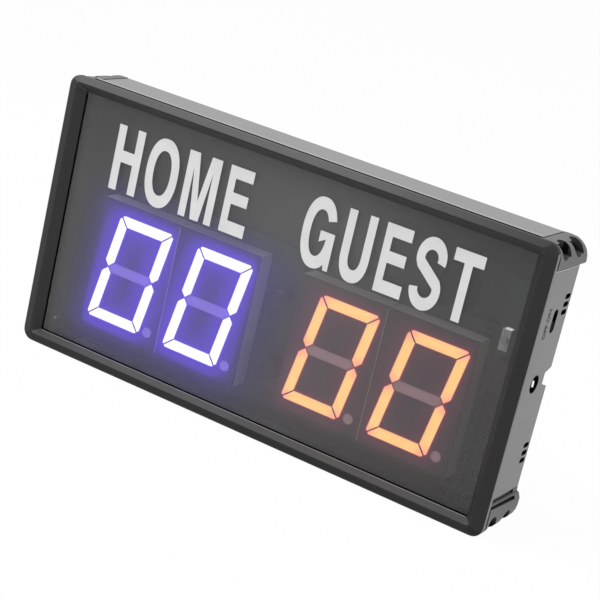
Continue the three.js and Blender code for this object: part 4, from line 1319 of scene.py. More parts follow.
@dataclass
class Lettering:
    """The two words printed on the panel, in a plain bold condensed letter."""

    low: float = 80.9
    high: float = 110.12
    overshoot: float = 0.8
    front: float = 1.95
    ink: float = 0.045
    bar: float = 5.2
    stem: float = 3.75
    squareness: float = 2.25
    h_stem: float = 4.0
    h_bar: Point = (93.9, 99.15)
    e_stem: float = 3.45
    e_foot: float = 5.5
    e_bar: Point = (93.85, 98.85)
    e_shorter_bar: float = 1.15
    e_shorter_top: float = 0.45
    m_stem: float = 3.55
    m_foot: float = 2.15
    m_shoulder: float = 5.45
    m_notch: float = 103.4
    m_valley: float = 89.4
    t_stem: Point = (4.95, 8.7)
    u_bend: float = 91.5
    u_floor: float = 85.5
    g_bar: Point = (91.95, 96.9)
    g_bar_start: float = 8.65
    g_spur: float = 2.3
    g_thicker: float = 0.15
    g_arc: Point = (24.0, 309.0)
    g_inner_arc: Point = (352.0, 33.0)
    s_width: float = 5.3
    s_narrow: float = 0.71
    s_upper: float = 6.1
    s_lower: float = 6.3
    s_lean: float = 0.1
    s_slimmer: float = 0.25
    s_upper_arc: Point = (-14.0, 208.0)
    s_lower_arc: Point = (28.0, -178.0)
    o_thicker: Point = (0.15, 0.2)
    o_steps: int = 56

    def letter_h(self, left: float, right: float) -> list[Point]:
        """The outline of an H between two places."""
        inner, (bar_low, bar_high) = left + self.h_stem, self.h_bar
        half = [(inner, bar_high), (inner, self.high), (left, self.high)]
        half += [(left, self.low), (inner, self.low), (inner, bar_low)]
        return both_halves(half, (left + right) / 2)

    def letter_e(self, left: float, right: float) -> list[Point]:
        """The outline of an E between two places."""
        inner, (bar_low, bar_high) = left + self.e_stem, self.e_bar
        foot, under = self.low + self.e_foot, self.high - self.bar
        bar_end, top_end = right - self.e_shorter_bar, right - self.e_shorter_top
        low_part = [(left, self.low), (right, self.low), (right, foot), (inner, foot)]
        bar = [(inner, bar_low), (bar_end, bar_low), (bar_end, bar_high), (inner, bar_high)]
        top = [(inner, under), (top_end, under), (top_end, self.high), (left, self.high)]
        return [*low_part, *bar, *top]

    def letter_m(self, left: float, right: float) -> list[Point]:
        """The outline of an M between two places."""
        middle, inner = (left + right) / 2, left + self.m_stem
        half = [(left + self.m_shoulder, self.high), (left, self.high), (left, self.low)]
        half += [(inner, self.low), (inner, self.m_notch), (middle - self.m_foot, self.low)]
        return [*both_halves(half, middle), (middle, self.m_valley)]

    def letter_t(self, left: float, right: float) -> list[Point]:
        """The outline of a T between two places."""
        stem_left, stem_right = (left + edge for edge in self.t_stem)
        under = self.high - self.bar
        bar = [(stem_right, under), (right, under), (right, self.high), (left, self.high)]
        bar += [(left, under), (stem_left, under)]
        return [(stem_left, self.low), (stem_right, self.low), *bar]

    def letter_u(self, left: float, right: float) -> list[Point]:
        """The outline of a U between two places."""
        middle, half = ((left + right) / 2, self.u_bend), (right - left) / 2
        outer_half = (half, self.u_bend - self.low + self.overshoot)
        inner_half = (half - self.stem, self.u_bend - self.u_floor)
        outer = oval(middle, outer_half, 180, 360, 18, self.squareness)
        inner = oval(middle, inner_half, 360, 180, 16, self.squareness)
        right_top = [(right, self.high), (right - self.stem, self.high)]
        return [(left, self.high), *outer, *right_top, *inner, (left + self.stem, self.high)]

    def letter_g(self, left: float, right: float) -> list[Point]:
        """The outline of a G between two places."""
        middle, half = ((left + right) / 2, (self.low + self.high) / 2), (right - left) / 2
        rise = (self.high - self.low) / 2 + self.overshoot
        inner_half = (half - self.stem, rise - self.bar - self.g_thicker)
        outer = oval(middle, (half, rise), *self.g_arc, 34, self.squareness)
        inner = oval(middle, inner_half, *self.g_inner_arc, 30, self.squareness)
        start, (bar_low, bar_high) = left + self.g_bar_start, self.g_bar
        spur = [(right - self.g_spur, self.low), (right, self.low), (right, bar_high)]
        return [*outer, *spur, (start, bar_high), (start, bar_low), *inner]

    def letter_s(self, left: float, right: float) -> list[Point]:
        """The outline of an S between two places."""
        middle = (left + right) / 2
        reach = (right - left - self.s_width * self.s_narrow) / 2
        top = self.high + self.overshoot - self.s_width / 2 - self.s_upper
        bottom = self.low - self.overshoot + self.s_width / 2 + self.s_lower
        upper_half = (reach - self.s_slimmer, self.s_upper)
        upper = oval((middle - self.s_lean, top), upper_half, *self.s_upper_arc, 22)
        lower = oval((middle, bottom), (reach, self.s_lower), *self.s_lower_arc, 22)
        return stroke([*upper, *lower], self.s_width, self.s_narrow)

    def letter_o(self, name: str, left: float, right: float) -> bpy.types.Object:
        """An O, its two edges bridged.

        Args:
            name: The piece's name.
            left: Its left edge.
            right: Its right edge.

        Returns:
            The letter.
        """
        middle = ((left + right) / 2, (self.low + self.high) / 2)
        half = ((right - left) / 2, (self.high - self.low) / 2 + self.overshoot)
        hollow = (
            half[0] - self.stem - self.o_thicker[0],
            half[1] - self.bar - self.o_thicker[1],
        )
        rings = []
        for reach in (half, hollow):
            ring = Bench.added(name, bpy.ops.mesh.primitive_circle_add, vertices=self.o_steps)
            outline = oval(middle, reach, 0, 360, self.o_steps, self.squareness)
            for vertex, (x, z) in zip(ring.data.vertices, outline):
                vertex.co = spot(x, self.front, z)
            rings.append(ring)
        piece = Bench.joined(name, rings)
        with Bench.editing(piece):
            bpy.ops.mesh.bridge_edge_loops()
            Bench.thicken(self.ink)
        return piece

    def build(self) -> None:
        """Builds and dresses both words, each letter between its left and right edge."""
        words = {
            "word_home": [
                self.letter_h(-91.0, -76.75),
                (-73.2, -56.45),
                self.letter_m(-52.9, -35.8),
                self.letter_e(-31.35, -18.75),
            ],
            "word_guest": [
                self.letter_g(8.3, 23.9),
                self.letter_u(27.95, 41.5),
                self.letter_e(45.9, 58.6),
                self.letter_s(61.4, 75.3),
                self.letter_t(77.5, 91.05),
            ],
        }
        for word, letters in words.items():
            pieces = [self.letter(word, letter) for letter in letters]
            Bench.settle(Bench.joined(word, pieces), Finishes.WHITE_INK, Slot.WHITE_FILM)

    def letter(self, word: str, shape: list[Point] | Point) -> bpy.types.Object:
        """One letter as a thin layer of ink.

        Args:
            word: The word that it belongs to.
            shape: Its outline, or the left and right edge of an O.

        Returns:
            The letter.
        """
        if isinstance(shape, tuple):
            return self.letter_o(f"{word}_letter", *shape)
        return Bench.plate(f"{word}_letter", shape, self.front, self.front + self.ink)


@dataclass
class DigitBank:
    """Four digits, each a film with six lit segments, an unlit middle one and a point."""

    pair_span: float = 106.0
    pitch: float = 42.4
    width: float = 42.1
    height: float = 60.0
    middle_height: float = 45.0
    film_front: float = 7.0
    film_rear: float = 7.8
    raised: float = 0.3
    figure_width: float = 29.0
    figure_height: float = 49.6
    shift: float = 0.45
    segment: float = 4.7
    gap: float = 0.5
    cut: float = 1.5
    slant: float = 0.167
    point_radius: float = 2.35
    point_across: float = 14.9
    point_drop: float = 22.2
    rim_width: float = 0.9
    corner_reach: float = 6.0
    outline_step: float = 1.6
    near_reach: tuple[float, float] = (1.9, 0.55)
    wide_reach: float = 3.3
    light_step: float = 0.7
    glow_sink: float = 1.2
    film_fade: float = 3.0
    divider_width: float = 0.34
    divider_half: float = 29.6
    line_width: float = 0.6
    line_inset: float = 0.1
    clearance: float = 0.02
    least_glow: float = 0.4
    cells: tuple[int, int] = (100, 142)
    pair_edge: float = 0.15
    divider_raised: float = 0.1
    film_round: float = 0.12
    tile_round: float = 0.1
    line_round: float = 0.04
    divider_round: float = 0.05
    lit: list[list[Point]] = field(init=False)
    bar: list[Point] = field(init=False)
    point: list[Point] = field(init=False)

    def __post_init__(self) -> None:
        """Draws the segments round the figure's middle, before they are slanted."""
        out_x, out_z = self.figure_width / 2, self.figure_height / 2
        in_x, in_z = out_x - self.segment, out_z - self.segment
        half, near = self.segment / 2, self.gap / 2 * math.sqrt(2)
        across = [
            (-out_x + self.cut + near, out_z),
            (out_x - self.cut - near, out_z),
            (out_x - self.cut / 2 - near, out_z - self.cut / 2),
            (in_x, in_z),
            (-in_x, in_z),
            (-out_x + self.cut / 2 + near, out_z - self.cut / 2),
        ]
        upright = [
            (out_x, out_z - self.cut - near),
            (out_x - self.cut / 2, out_z - self.cut / 2 - near),
            (in_x, in_z - near),
            (in_x, half + near),
            (out_x - half, near),
            (out_x, half + near),
        ]
        tip = out_x - half - near
        left_end = [(half - tip, -half), (-tip, 0), (half - tip, half)]
        self.bar = both_halves(left_end, 0)
        point_middle = (self.point_across, -self.point_drop)
        self.point = oval(point_middle, (self.point_radius,) * 2, 0, 345, 23)
        self.lit = [across, mirrored(across, False, True)]
        self.lit += [mirrored(upright, *turn) for turn in QUADRANTS]

    def middles(self, side: int) -> list[float]:
        """The middles of a pair's digits, left pair -1 and right pair 1."""
        return [side * self.pair_span / 2 + half * self.pitch / 2 for half in SIDES]

    def placed(self, outline: Sequence[Point], middle: float) -> list[Point]:
        """An outline at a digit's place, slanted with the figure."""
        return [
            (middle + self.shift + x + z * self.slant, self.middle_height + z) for x, z in outline
        ]

    def lit_outlines(self, middle: float) -> list[list[Point]]:
        """The lit segments at a digit's place."""
        return [self.placed(outline, middle) for outline in self.lit]

    def build(self) -> None:
        """Builds and dresses the four digits and their housings."""
        number = 0
        for side in SIDES:
            for middle in self.middles(side):
                number += 1
                self.build_film(number, side, middle)
                self.build_segments(number, side, middle)
                self.build_joints(number, middle)
                Bench.dress(f"digit_housing_{number}", Finishes.HOUSING)
                Bench.dress(f"digit_led_board_{number}", Finishes.BOARD)
            self.build_divider(side)

    def build_film(self, number: int, side: int, middle: float) -> None:
        """Builds a digit's film and draws on it how its segments' light spreads.

        Args:
            number: The digit, from the left.
            side: Its pair.
            middle: Its middle.
        """
        half, heart = (self.width / 2, self.height / 2), (middle, self.middle_height)
        name = f"digit_film_{number}"
        piece = Bench.sheet(name, half, heart, self.film_front, self.film_rear, self.cells)
        Bench.soften(piece, self.film_round)
        place = Bench.points(piece)[:, [0, 2]]
        gap = nearest_of(place, self.lit_outlines(middle))
        Bench.draw(piece, "near_glow", np.exp(-gap / self.near_reach[side > 0]))
        from_middle, from_pair = np.abs(place - (side * self.pair_span / 2, self.middle_height)).T
        half_pair = self.width + self.pair_edge
        edge = np.minimum(self.height / 2 - from_pair, half_pair - from_middle)
        fade = climb(edge, 0, self.film_fade, self.least_glow)
        Bench.draw(piece, "wide_glow", self.spread_light(place, middle) * fade)
        finish = Finishes.VIOLET_FILM if side < 0 else Finishes.WARM_FILM
        Bench.settle(piece, finish, self.film_slot(side), [f"digit_face_{number}"])

    @staticmethod
    def film_slot(side: int) -> Slot:
        """The record's slot for a pair's films."""
        return Slot.WHITE_FILM if side < 0 else Slot.ORANGE_FILM

    def spread_light(self, place: np.ndarray, middle: float) -> np.ndarray:
        """How much of the lit segments' light reaches places on a film.

        Args:
            place: The places, across and up.
            middle: The digit's middle.

        Returns:
            The light, 1 in the middle of the figure's upper half.
        """
        reach_x = (self.figure_width - self.segment) / 2
        reach_z = (self.figure_height - self.segment) / 2
        level = np.arange(-reach_x, reach_x, self.light_step)
        rise = np.arange(-reach_z, reach_z, self.light_step)
        line = [(x, up * reach_z) for x in level for up in SIDES]
        line += [(side * reach_x, z) for z in rise for side in SIDES]
        sources = np.array(self.placed(line, middle)) - (0, self.glow_sink)
        heart = np.array(self.placed([(0, reach_z / 2)], middle))

        def reached(spots: np.ndarray) -> np.ndarray:
            gaps = np.linalg.norm(spots[:, None] - sources[None], axis=2)
            return np.exp(-gaps / self.wide_reach).sum(axis=1)

        return reached(place) / reached(heart)

    def build_segments(self, number: int, side: int, middle: float) -> None:
        """Builds a digit's raised segments, the lit ones and the unlit ones.

        Args:
            number: The digit, from the left.
            side: Its pair.
            middle: Its middle.
        """
        lights = (Finishes.WHITE_LIGHT, Finishes.VIOLET_IDLE)
        if side > 0:
            lights = (Finishes.WARM_LIGHT, Finishes.WARM_IDLE)
        lit = self.lit_outlines(middle)
        point = [(middle + self.shift + x, self.middle_height + z) for x, z in self.point]
        unlit = [self.placed(self.bar, middle), point]
        for word, outlines, finish in zip(("lit", "unlit"), (lit, unlit), lights):
            name = f"digit_{number}_{word}_segments"
            tiles = [self.tile(name, outline, middle) for outline in outlines]
            Bench.settle(Bench.joined(name, tiles), finish, self.film_slot(side))

    def divided(self, outline: Sequence[Point]) -> list[Point]:
        """An outline with points added along its long sides."""
        points = []
        for start, end in zip(outline, [*outline[1:], outline[0]]):
            steps = max(1, round(math.dist(start, end) / self.outline_step))
            shares = np.arange(steps)[:, None] / steps
            points += map(tuple, start + (np.array(end) - start) * shares)
        return points

    def build_joints(self, number: int, middle: float) -> None:
        """Lays the dark lines in which a digit's segments meet at its four corners."""
        out_x, out_z = self.figure_width / 2, self.figure_height / 2
        inset, skew = self.cut / 2 + self.line_inset, self.line_width / 2 / math.sqrt(2)
        in_x, in_z = out_x - self.segment, out_z - self.segment
        line = [
            (out_x - inset - skew, out_z - inset + skew),
            (out_x - inset + skew, out_z - inset - skew),
            (in_x + skew, in_z - skew),
            (in_x - skew, in_z + skew),
        ]
        rear = self.film_front - self.clearance
        lines = [self.placed(mirrored(line, *turn), middle) for turn in QUADRANTS]
        name, span = f"digit_{number}_joint_lines", (rear - self.raised, rear)
        Bench.strips(name, lines, span, self.line_round, Finishes.JOINT)

    def build_divider(self, side: int) -> None:
        """Stands the thin rib between the two films of a pair."""
        across, half = side * self.pair_span / 2, self.divider_width / 2
        low, high = self.middle_height - self.divider_half, self.middle_height + self.divider_half
        outline = rectangle(across - half, across + half, low, high)
        name = "left_pair_divider" if side < 0 else "right_pair_divider"
        front = self.film_front - self.divider_raised
        piece = Bench.plate(name, outline, front, self.film_rear, self.divider_round)
        for attribute in ("rim", "corner"):
            Bench.draw(piece, attribute, np.zeros(len(piece.data.vertices)))
        # the divider glows with painted light from the lit segments
        finish = Finishes.VIOLET_DIVIDER if side < 0 else Finishes.WARM_DIVIDER
        Bench.settle(piece, finish, self.film_slot(side))

    def tile(self, name: str, outline: Sequence[Point], middle: float) -> bpy.types.Object:
        """One raised segment, with its rim and the figure's corners drawn on it.

        Args:
            name: The piece's name.
            outline: Its outline at its place.
            middle: The digit's middle.

        Returns:
            The segment.
        """
        front, rear = self.film_front - self.raised, self.film_front - self.clearance
        outline = self.divided(outline)
        piece = Bench.plate(name, outline, front, rear, self.tile_round)
        with Bench.editing(piece):
            Bench.choose_faces(piece, lambda face: face.normal.y < -0.9 and len(face.verts) > 4)
            for share in (0.45, 0.55):
                bpy.ops.mesh.inset(thickness=self.rim_width * share * MM, depth=0)
            bpy.ops.mesh.poke()
            bpy.ops.mesh.subdivide(number_cuts=2)
        place = Bench.points(piece)[:, [0, 2]]
        gap = distance_to(place, outline)
        Bench.draw(piece, "rim", np.clip(1 - gap / self.rim_width, 0, 1))
        half_x, half_z = self.figure_width / 2, self.figure_height / 2
        ends = self.placed([(x * half_x, z * half_z) for x in SIDES for z in (-1, 0, 1)], middle)
        away = np.min([np.linalg.norm(place - np.array(end), axis=1) for end in ends], axis=0)
        Bench.draw(piece, "corner", np.clip(1 - away / self.corner_reach, 0, 1))
        return piece


@dataclass
class BodyShell:
    """Rails, end panels, corner blocks and the rear cover, their edges softened."""

    round_off: float = 0.12
    sharp_angle: float = 32.0
    corners: tuple[str, ...] = ("top_left", "top_right", "bottom_left", "bottom_right")
    inner_half: float = 117.75
    inner_low: float = 2.2
    inner_high: float = 122.3
    inner_front: float = 2.5
    inner_rear: float = 22.3
    face_half: float = 119.2
    port_front: float = 3.0
    port_rear: float = 20.5
    panel_low: float = 17.2
    panel_high: float = 113.1
    gill_reach: float = 5.0
    middle_height: float = 62.2
    vent_front: float = 3.4
    vent_rear: float = 27.4
    vent_foot: float = 59.0
    vent_root: float = 117.8
    facing: float = 0.35
    level: float = 0.12
    depthward: float = 0.45

    def build(self) -> None:
        """Builds and dresses the body."""
        for rail in ("top_rail", "bottom_rail"):
            self.finished(rail, f"{rail}_extrusion", Finishes.RAIL, Slot.RAIL)
        for panel in ("left_end_panel", "right_end_panel"):
            self.finished(panel, f"{panel}_moulding", Finishes.END_PANEL, Slot.BODY)
        for corner in self.corners:
            node = f"corner_block_{corner}"
            self.finished(node, f"{node}_moulding", Finishes.BLOCK, Slot.BODY)
            Bench.dress(f"corner_screw_{corner}", Finishes.STEEL)
            Bench.dress(f"board_screw_{corner}", Finishes.BLACK_OXIDE)
        self.finished("rear_cover", "rear_cover_moulding", Finishes.COVER, Slot.COVER)

    def finished(self, node: str, name: str, finish: Finish, slot: Slot) -> None:
        """Softens a copy of a node, darkens its inner walls and lets it stand for the node.

        Args:
            node: The node.
            name: The new piece's name.
            finish: Its finish.
            slot: The record's slot.
        """
        piece = Bench.copy_of(node, name)
        Bench.soften(piece, self.round_off, angle=self.sharp_angle)
        for part in (finish, Finishes.INSIDE, Finishes.VENT):
            piece.data.materials.append(part.material())
        # painted shade: inner walls, cut walls and vent walls take darker finishes
        for face in piece.data.polygons:
            cut_wall = finish is Finishes.END_PANEL and self.is_cut_wall(face.center)
            vent = finish is Finishes.BLOCK and self.is_vent_wall(face.center, face.normal)
            face.material_index = 1 if self.is_inside(face.center) or cut_wall else 2 * vent
        Bench.settle(piece, finish, slot, [node])

    def is_inside(self, place: Vector) -> bool:
        """Whether a place lies within the body's walls."""
        across, depth, up = measured(place)
        level = self.inner_low < up < self.inner_high
        return across < self.inner_half and level and self.inner_front < depth < self.inner_rear

    def is_cut_wall(self, place: Vector) -> bool:
        """Whether a place on an end panel lies within one of its openings."""
        across, depth, up = measured(place)
        by_gills = min(abs(up - middle) for middle in GILL_HEIGHTS) < self.gill_reach
        opened = self.port_front < depth < self.port_rear or depth > self.port_front and by_gills
        return across < self.face_half and opened and self.panel_low < up < self.panel_high

    def is_vent_wall(self, place: Vector, normal: Vector) -> bool:
        """Whether a corner block's facet lies in one of its vents.

        Args:
            place: The facet's middle.
            normal: Where it faces.

        Returns:
            Whether it does.
        """
        across, depth, up = measured(place)
        outward = normal.x if place.x > 0 else -normal.x
        away = normal.z if up > self.middle_height else -normal.z
        rise = abs(up - self.middle_height)
        side_end = away > self.facing and abs(outward) < self.level and rise < self.vent_foot
        top_end = outward > self.facing and abs(away) < self.level and across < self.vent_root
        wall = abs(normal.y) > self.depthward or side_end or top_end
        return self.vent_front < depth < self.vent_rear and wall


@dataclass
class Linings:
    """Painted shade behind openings and in seams, painted highlight where the body's pieces meet.
    """

    gill_wall: Point = (117.05, 117.45)
    gill_half: float = 4.6
    left_gills: Point = (16.5, 112.5)
    left_gill_span: Point = (7.5, 27.4)
    right_gill_span: Point = (19.9, 27.4)
    wall_round: float = 0.08
    keyhole: Point = (75.0, 90.0)
    pocket_half: Point = (9.0, 10.5)
    pocket_span: Point = (20.0, 20.3)
    pocket_squareness: float = 2.6
    bead: tuple[Point, ...] = ((118.9, 113.4), (119.55, 113.5), (119.6, 113.8), (118.9, 113.95))
    bead_span: Point = (0.6, 27.0)
    bead_round: float = 0.05
    corner_screw: Point = (114.4, 118.75)
    screw_gap: float = 1.5
    hollow_round: Point = (113.6, 118.55)
    hollow_foot: float = 107.2
    hollow_inner: Point = (103.2, 121.85)
    hollow_outer: float = 116.9
    plug_span: Point = (23.4, 23.8)
    lip_span: Point = (24.35, 26.6)
    opening: Triple = (111.5, 6.3, 118.7)
    shadow_width: float = 0.55
    shadow_span: Point = (1.72, 1.97)
    dark_round: float = 0.03
    foot_span: Point = (1.12, 1.5)
    foot_inset: float = 0.6
    foot_below: Point = (0.42, 0.02)
    trim_round: float = 0.04
    rail_half: float = field(init=False)
    rail_foot: float = field(init=False)
    rail_top: float = field(init=False)
    rail_span: Point = field(init=False)

    def build(self) -> None:
        """Measures the rails, then builds and dresses the pieces of painted shade and highlight.
        """
        rail = Bench.points(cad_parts["top_rail"])
        self.rail_half, self.rail_top = rail[:, 0].max(), rail[:, 2].max()
        self.rail_span = (rail[:, 1].min() + 0.05, rail[:, 1].max() - 0.05)
        self.rail_foot = Bench.points(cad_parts["bottom_rail"])[:, 2].min()
        self.build_gill_shade_walls()
        self.build_keyhole_pockets()
        self.build_rail_shadow_strips()
        self.build_beads()
        self.build_corner_plugs()
        self.build_panel_shadow_strips()
        self.build_top_seam()

    def build_gill_shade_walls(self) -> None:
        """Stands dark walls inside the end panels, behind their gills, as painted shade."""
        near, far = self.gill_wall
        left = [rectangle(-far, -near, *self.left_gills)]
        half = self.gill_half
        right = [rectangle(near, far, height - half, height + half) for height in GILL_HEIGHTS]
        for name, outlines, span in (
            ("left_gill_shade_wall", left, self.left_gill_span),
            ("right_gill_shade_walls", right, self.right_gill_span),
        ):
            Bench.strips(name, outlines, span, self.wall_round, Finishes.INSIDE)

    def build_keyhole_pockets(self) -> None:
        """Closes the keyholes' insides with dark round pockets, as painted shade."""
        across, up = self.keyhole
        half, square = self.pocket_half, self.pocket_squareness
        floors = [oval((side * across, up), half, 0, 350, 35, square) for side in SIDES]
        name = "keyhole_pockets"
        Bench.strips(name, floors, self.pocket_span, self.wall_round, Finishes.INSIDE)

    def build_rail_shadow_strips(self) -> None:
        """Lays dark strips of painted shadow in the seams between the rails and corner blocks."""
        seals = []
        for side, lap, rise in ((-1, 0.05, -0.4), (1, 0.5, 0.03)):
            near, far = side * (self.rail_half - lap), side * (self.rail_half + 0.3)
            seals.append(rectangle(near, far, self.rail_top - 1.0, self.rail_top + rise))
            seals.append(rectangle(near, far, self.rail_foot - rise, self.rail_foot + 1.0))
        Bench.strips("rail_end_shadow_strips", seals, self.rail_span, self.dark_round, Finishes.SHADOW_STRIP)

    def build_beads(self) -> None:
        """Lays the pale bead along each end panel's upper edge, a painted highlight."""
        beads = [mirrored(self.bead, side < 0, False) for side in SIDES]
        look = (Finishes.UPPER_EDGE_HIGHLIGHT, Slot.BODY)
        Bench.strips("end_panel_highlight_beads", beads, self.bead_span, self.bead_round, *look)

    def build_corner_plugs(self) -> None:
        """Stands a notched dark plate and, behind it, a thin lip in each corner block's hollow."""
        round_middle, low, outer = self.hollow_round, self.hollow_foot, self.hollow_outer
        inner, high = self.hollow_inner
        screw = oval(self.corner_screw, (self.screw_gap,) * 2, 180, 0, 14)
        notched = [(inner, high), (inner, low), (screw[0][0], low), *screw, (screw[-1][0], low)]
        notched += [(outer, low), *oval(round_middle, (3.3, 3.3), 0, 90, 8)]
        lip = [(111.5, 121.9), *oval(round_middle, (3.35, 3.35), 90, 0, 8), (116.95, 113.5)]
        lip += [(116.7, 113.5), *oval(round_middle, (3.1, 3.1), 0, 90, 8), (111.5, 121.65)]
        turned = self.rail_top + self.rail_foot
        plugs = []
        for left, below in QUADRANTS:
            for points, span in ((notched, self.plug_span), (lip, self.lip_span)):
                outline = [(-x if left else x, turned - z if below else z) for x, z in points]
                plugs.append(Bench.plate("corner_plugs", outline, *span, self.dark_round))
        # the plugs are dark as painted shade
        Bench.settle(Bench.joined("corner_plugs", plugs), Finishes.INSIDE, Slot.BLACK)

    def build_panel_shadow_strips(self) -> None:
        """Lays a thin painted shadow between the panel and the foot of the bezel's slope."""
        half, low, high, width = *self.opening, self.shadow_width
        seal = [rectangle(-half, half, low, low + width)]
        seal.append(rectangle(-half, width - half, low + width, high - 1.0))
        Bench.strips("panel_shadow_strip", seal, self.shadow_span, self.trim_round, Finishes.SHADOW_STRIP)
        # a pale strip of painted highlight along the foot of the bezel's slope
        reach, (far, near) = half - self.foot_inset, self.foot_below
        foot = [rectangle(-reach, reach, low - far, low - near)]
        look = (Finishes.FOOT_HIGHLIGHT, Slot.BEZEL)
        Bench.strips("bezel_foot_highlight_strip", foot, self.foot_span, self.trim_round, *look)

    def build_top_seam(self) -> None:
        """Lays a painted shadow and a pale painted highlight between the bezel and the top rail.
        """
        for name, head, span, finish, slot in (
            ("top_seam_shadow_strip", 124.94, (2.13, 4.3), Finishes.SHADOW_STRIP, Slot.BLACK),
            ("top_rail_front_highlight", 124.97, (4.32, 6.3), Finishes.RAIL_HIGHLIGHT, Slot.RAIL),
        ):
            strip = [rectangle(-self.rail_half, self.rail_half, self.rail_top - 0.3, head)]
            Bench.strips(name, strip, span, self.trim_round, finish, slot)


@dataclass
class SidePorts:
    """The slide switch with its two marks, and the power inlet with its spring contact."""

    panel_face: float = 119.4
    switch_height: float = 91.5
    mark_size: float = 3.6
    mark_depth: float = 9.4
    mark_boldness: float = 0.16
    mark_height: float = 0.02
    inlet_depth: float = 13.7
    inlet_height: float = 64.9
    leaf_size: Triple = (0.8, 0.25, 2.9)
    leaf_bend: float = 0.2
    leaf_lean: float = -12.0
    leaf_flare: float = 28.0
    leaf_across: float = 117.8
    leaf_behind: float = 2.75
    leaf_below: float = 0.95
    lip: tuple[float, float, float, float] = (103.7, 106.3, 83.85, 84.25)
    lip_span: Point = (8.0, 10.4)
    round_off: float = 0.06
    marks: tuple[tuple[str, float], ...] = (("ON", 3.4), ("OFF", -3.6))

    def build(self) -> None:
        """Builds and dresses the ports."""
        for node, finish in {
            "slide_switch_body": Finishes.BLACK,
            "slide_switch_actuator": Finishes.SLIDE,
            "power_inlet_body": Finishes.BLACK,
            "power_inlet_pin": Finishes.PLATED,
            "infrared_receiver": Finishes.RESIN,
        }.items():
            Bench.dress(node, finish)
        self.shade_receiver()
        self.build_receiver_glint()
        for word, above in self.marks:
            self.build_mark(word, self.switch_height + above)
        self.build_leaf()

    def shade_receiver(self) -> None:
        """Gives the infrared receiver's side faces a dark finish, as painted shade."""
        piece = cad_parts["infrared_receiver"]
        piece.data.materials.append(Finishes.BLACK.material())
        for face in piece.data.polygons:
            face.material_index = int(abs(face.normal.x) > 0.7)

    def build_receiver_glint(self) -> None:
        """Lays a glowing strip, a painted glint, over the infrared receiver's upper edge."""
        left, right, low, high = self.lip
        crest = (left + 0.3, high + 0.05)
        outline = [(left, low), (right, low), (right, high), crest, (left, high)]
        look = (Finishes.RECEIVER_GLINT, Slot.PLATED)
        Bench.strips("receiver_glint_strip", [outline], self.lip_span, self.round_off, *look)

    def build_mark(self, word: str, height: float) -> None:
        """Stamps a word beside the switch, read from below upwards.

        Args:
            word: The word.
            height: The height of its middle.
        """
        name = f"switch_mark_{word.lower()}"
        text = Bench.added(name, bpy.ops.object.text_add)
        text.data.body = word
        text.data.align_x = text.data.align_y = "CENTER"
        text.data.size = self.mark_size * MM
        text.data.extrude = self.mark_height * MM
        text.data.offset = self.mark_boldness * MM
        Bench.pick(text)
        bpy.ops.object.convert(target="MESH")
        piece = Bench.new_piece(name)
        piece.data.transform(Matrix.Rotation(QUARTER, 4, "Z"))
        piece.data.transform(Matrix(((0, 0, 1), (1, 0, 0), (0, 1, 0))).to_4x4())
        place = spot(self.panel_face + self.mark_height, self.mark_depth, height)
        piece.data.transform(Matrix.Translation(place))
        Bench.settle(piece, Finishes.DARK_INK, Slot.BLACK)

    def build_leaf(self) -> None:
        """Bends the inlet's leaf contact, which leans out from its bore's rear wall."""
        piece = Bench.added("power_inlet_leaf_contact", bpy.ops.mesh.primitive_cube_add, size=1)
        with Bench.editing(piece):
            bpy.ops.transform.resize(value=Vector(self.leaf_size) * MM)
            bpy.ops.mesh.subdivide(number_cuts=5)
        for vertex in piece.data.vertices:
            rise = vertex.co.z / (self.leaf_size[2] / 2 * MM)
            vertex.co.y += self.leaf_bend * rise * rise * MM
        depth, height = self.inlet_depth + self.leaf_behind, self.inlet_height - self.leaf_below
        for turn in (
            Matrix.Rotation(math.radians(self.leaf_lean), 4, "X"),
            Matrix.Rotation(math.radians(self.leaf_flare), 4, "Z"),
            Matrix.Translation(spot(self.leaf_across, depth, height)),
        ):
            piece.data.transform(turn)
        Bench.soften(piece, self.round_off)
        Bench.settle(piece, Finishes.CONTACT, Slot.PLATED)


@dataclass
class Electronics:
    """The main board and what stands on it."""

    finishes: dict[str, Finish] = field(
        default_factory=lambda: {
            "main_board": Finishes.BOARD,
            "buzzer": Finishes.BLACK,
            "smoothing_capacitor": Finishes.SLEEVE,
            "clock_crystal": Finishes.PLATED,
            "microcontroller": Finishes.EPOXY,
            "segment_driver_1": Finishes.EPOXY,
            "segment_driver_2": Finishes.EPOXY,
        }
    )

    def build(self) -> None:
        """Dresses the electronics."""
        for node, finish in self.finishes.items():
            Bench.dress(node, finish)


# Studio


@dataclass(frozen=True)
class Softbox:
    """A square area lamp that faces the scoreboard."""

    name: str
    place: Triple
    size: float
    watts: float
    target: Triple = (0.0, 0.0, 0.06)

    def hang(self) -> None:
        """Hangs the lamp."""
        light = bpy.data.lights.new(self.name, "AREA")
        light.shape = "SQUARE"
        light.size = self.size
        light.energy = self.watts
        lamp = bpy.data.objects.new(self.name, light)
        bpy.context.scene.collection.objects.link(lamp)
        lamp.location = self.place
        aim = Vector(self.target) - Vector(self.place)
        lamp.rotation_euler = aim.to_track_quat("-Z", "Y").to_euler()


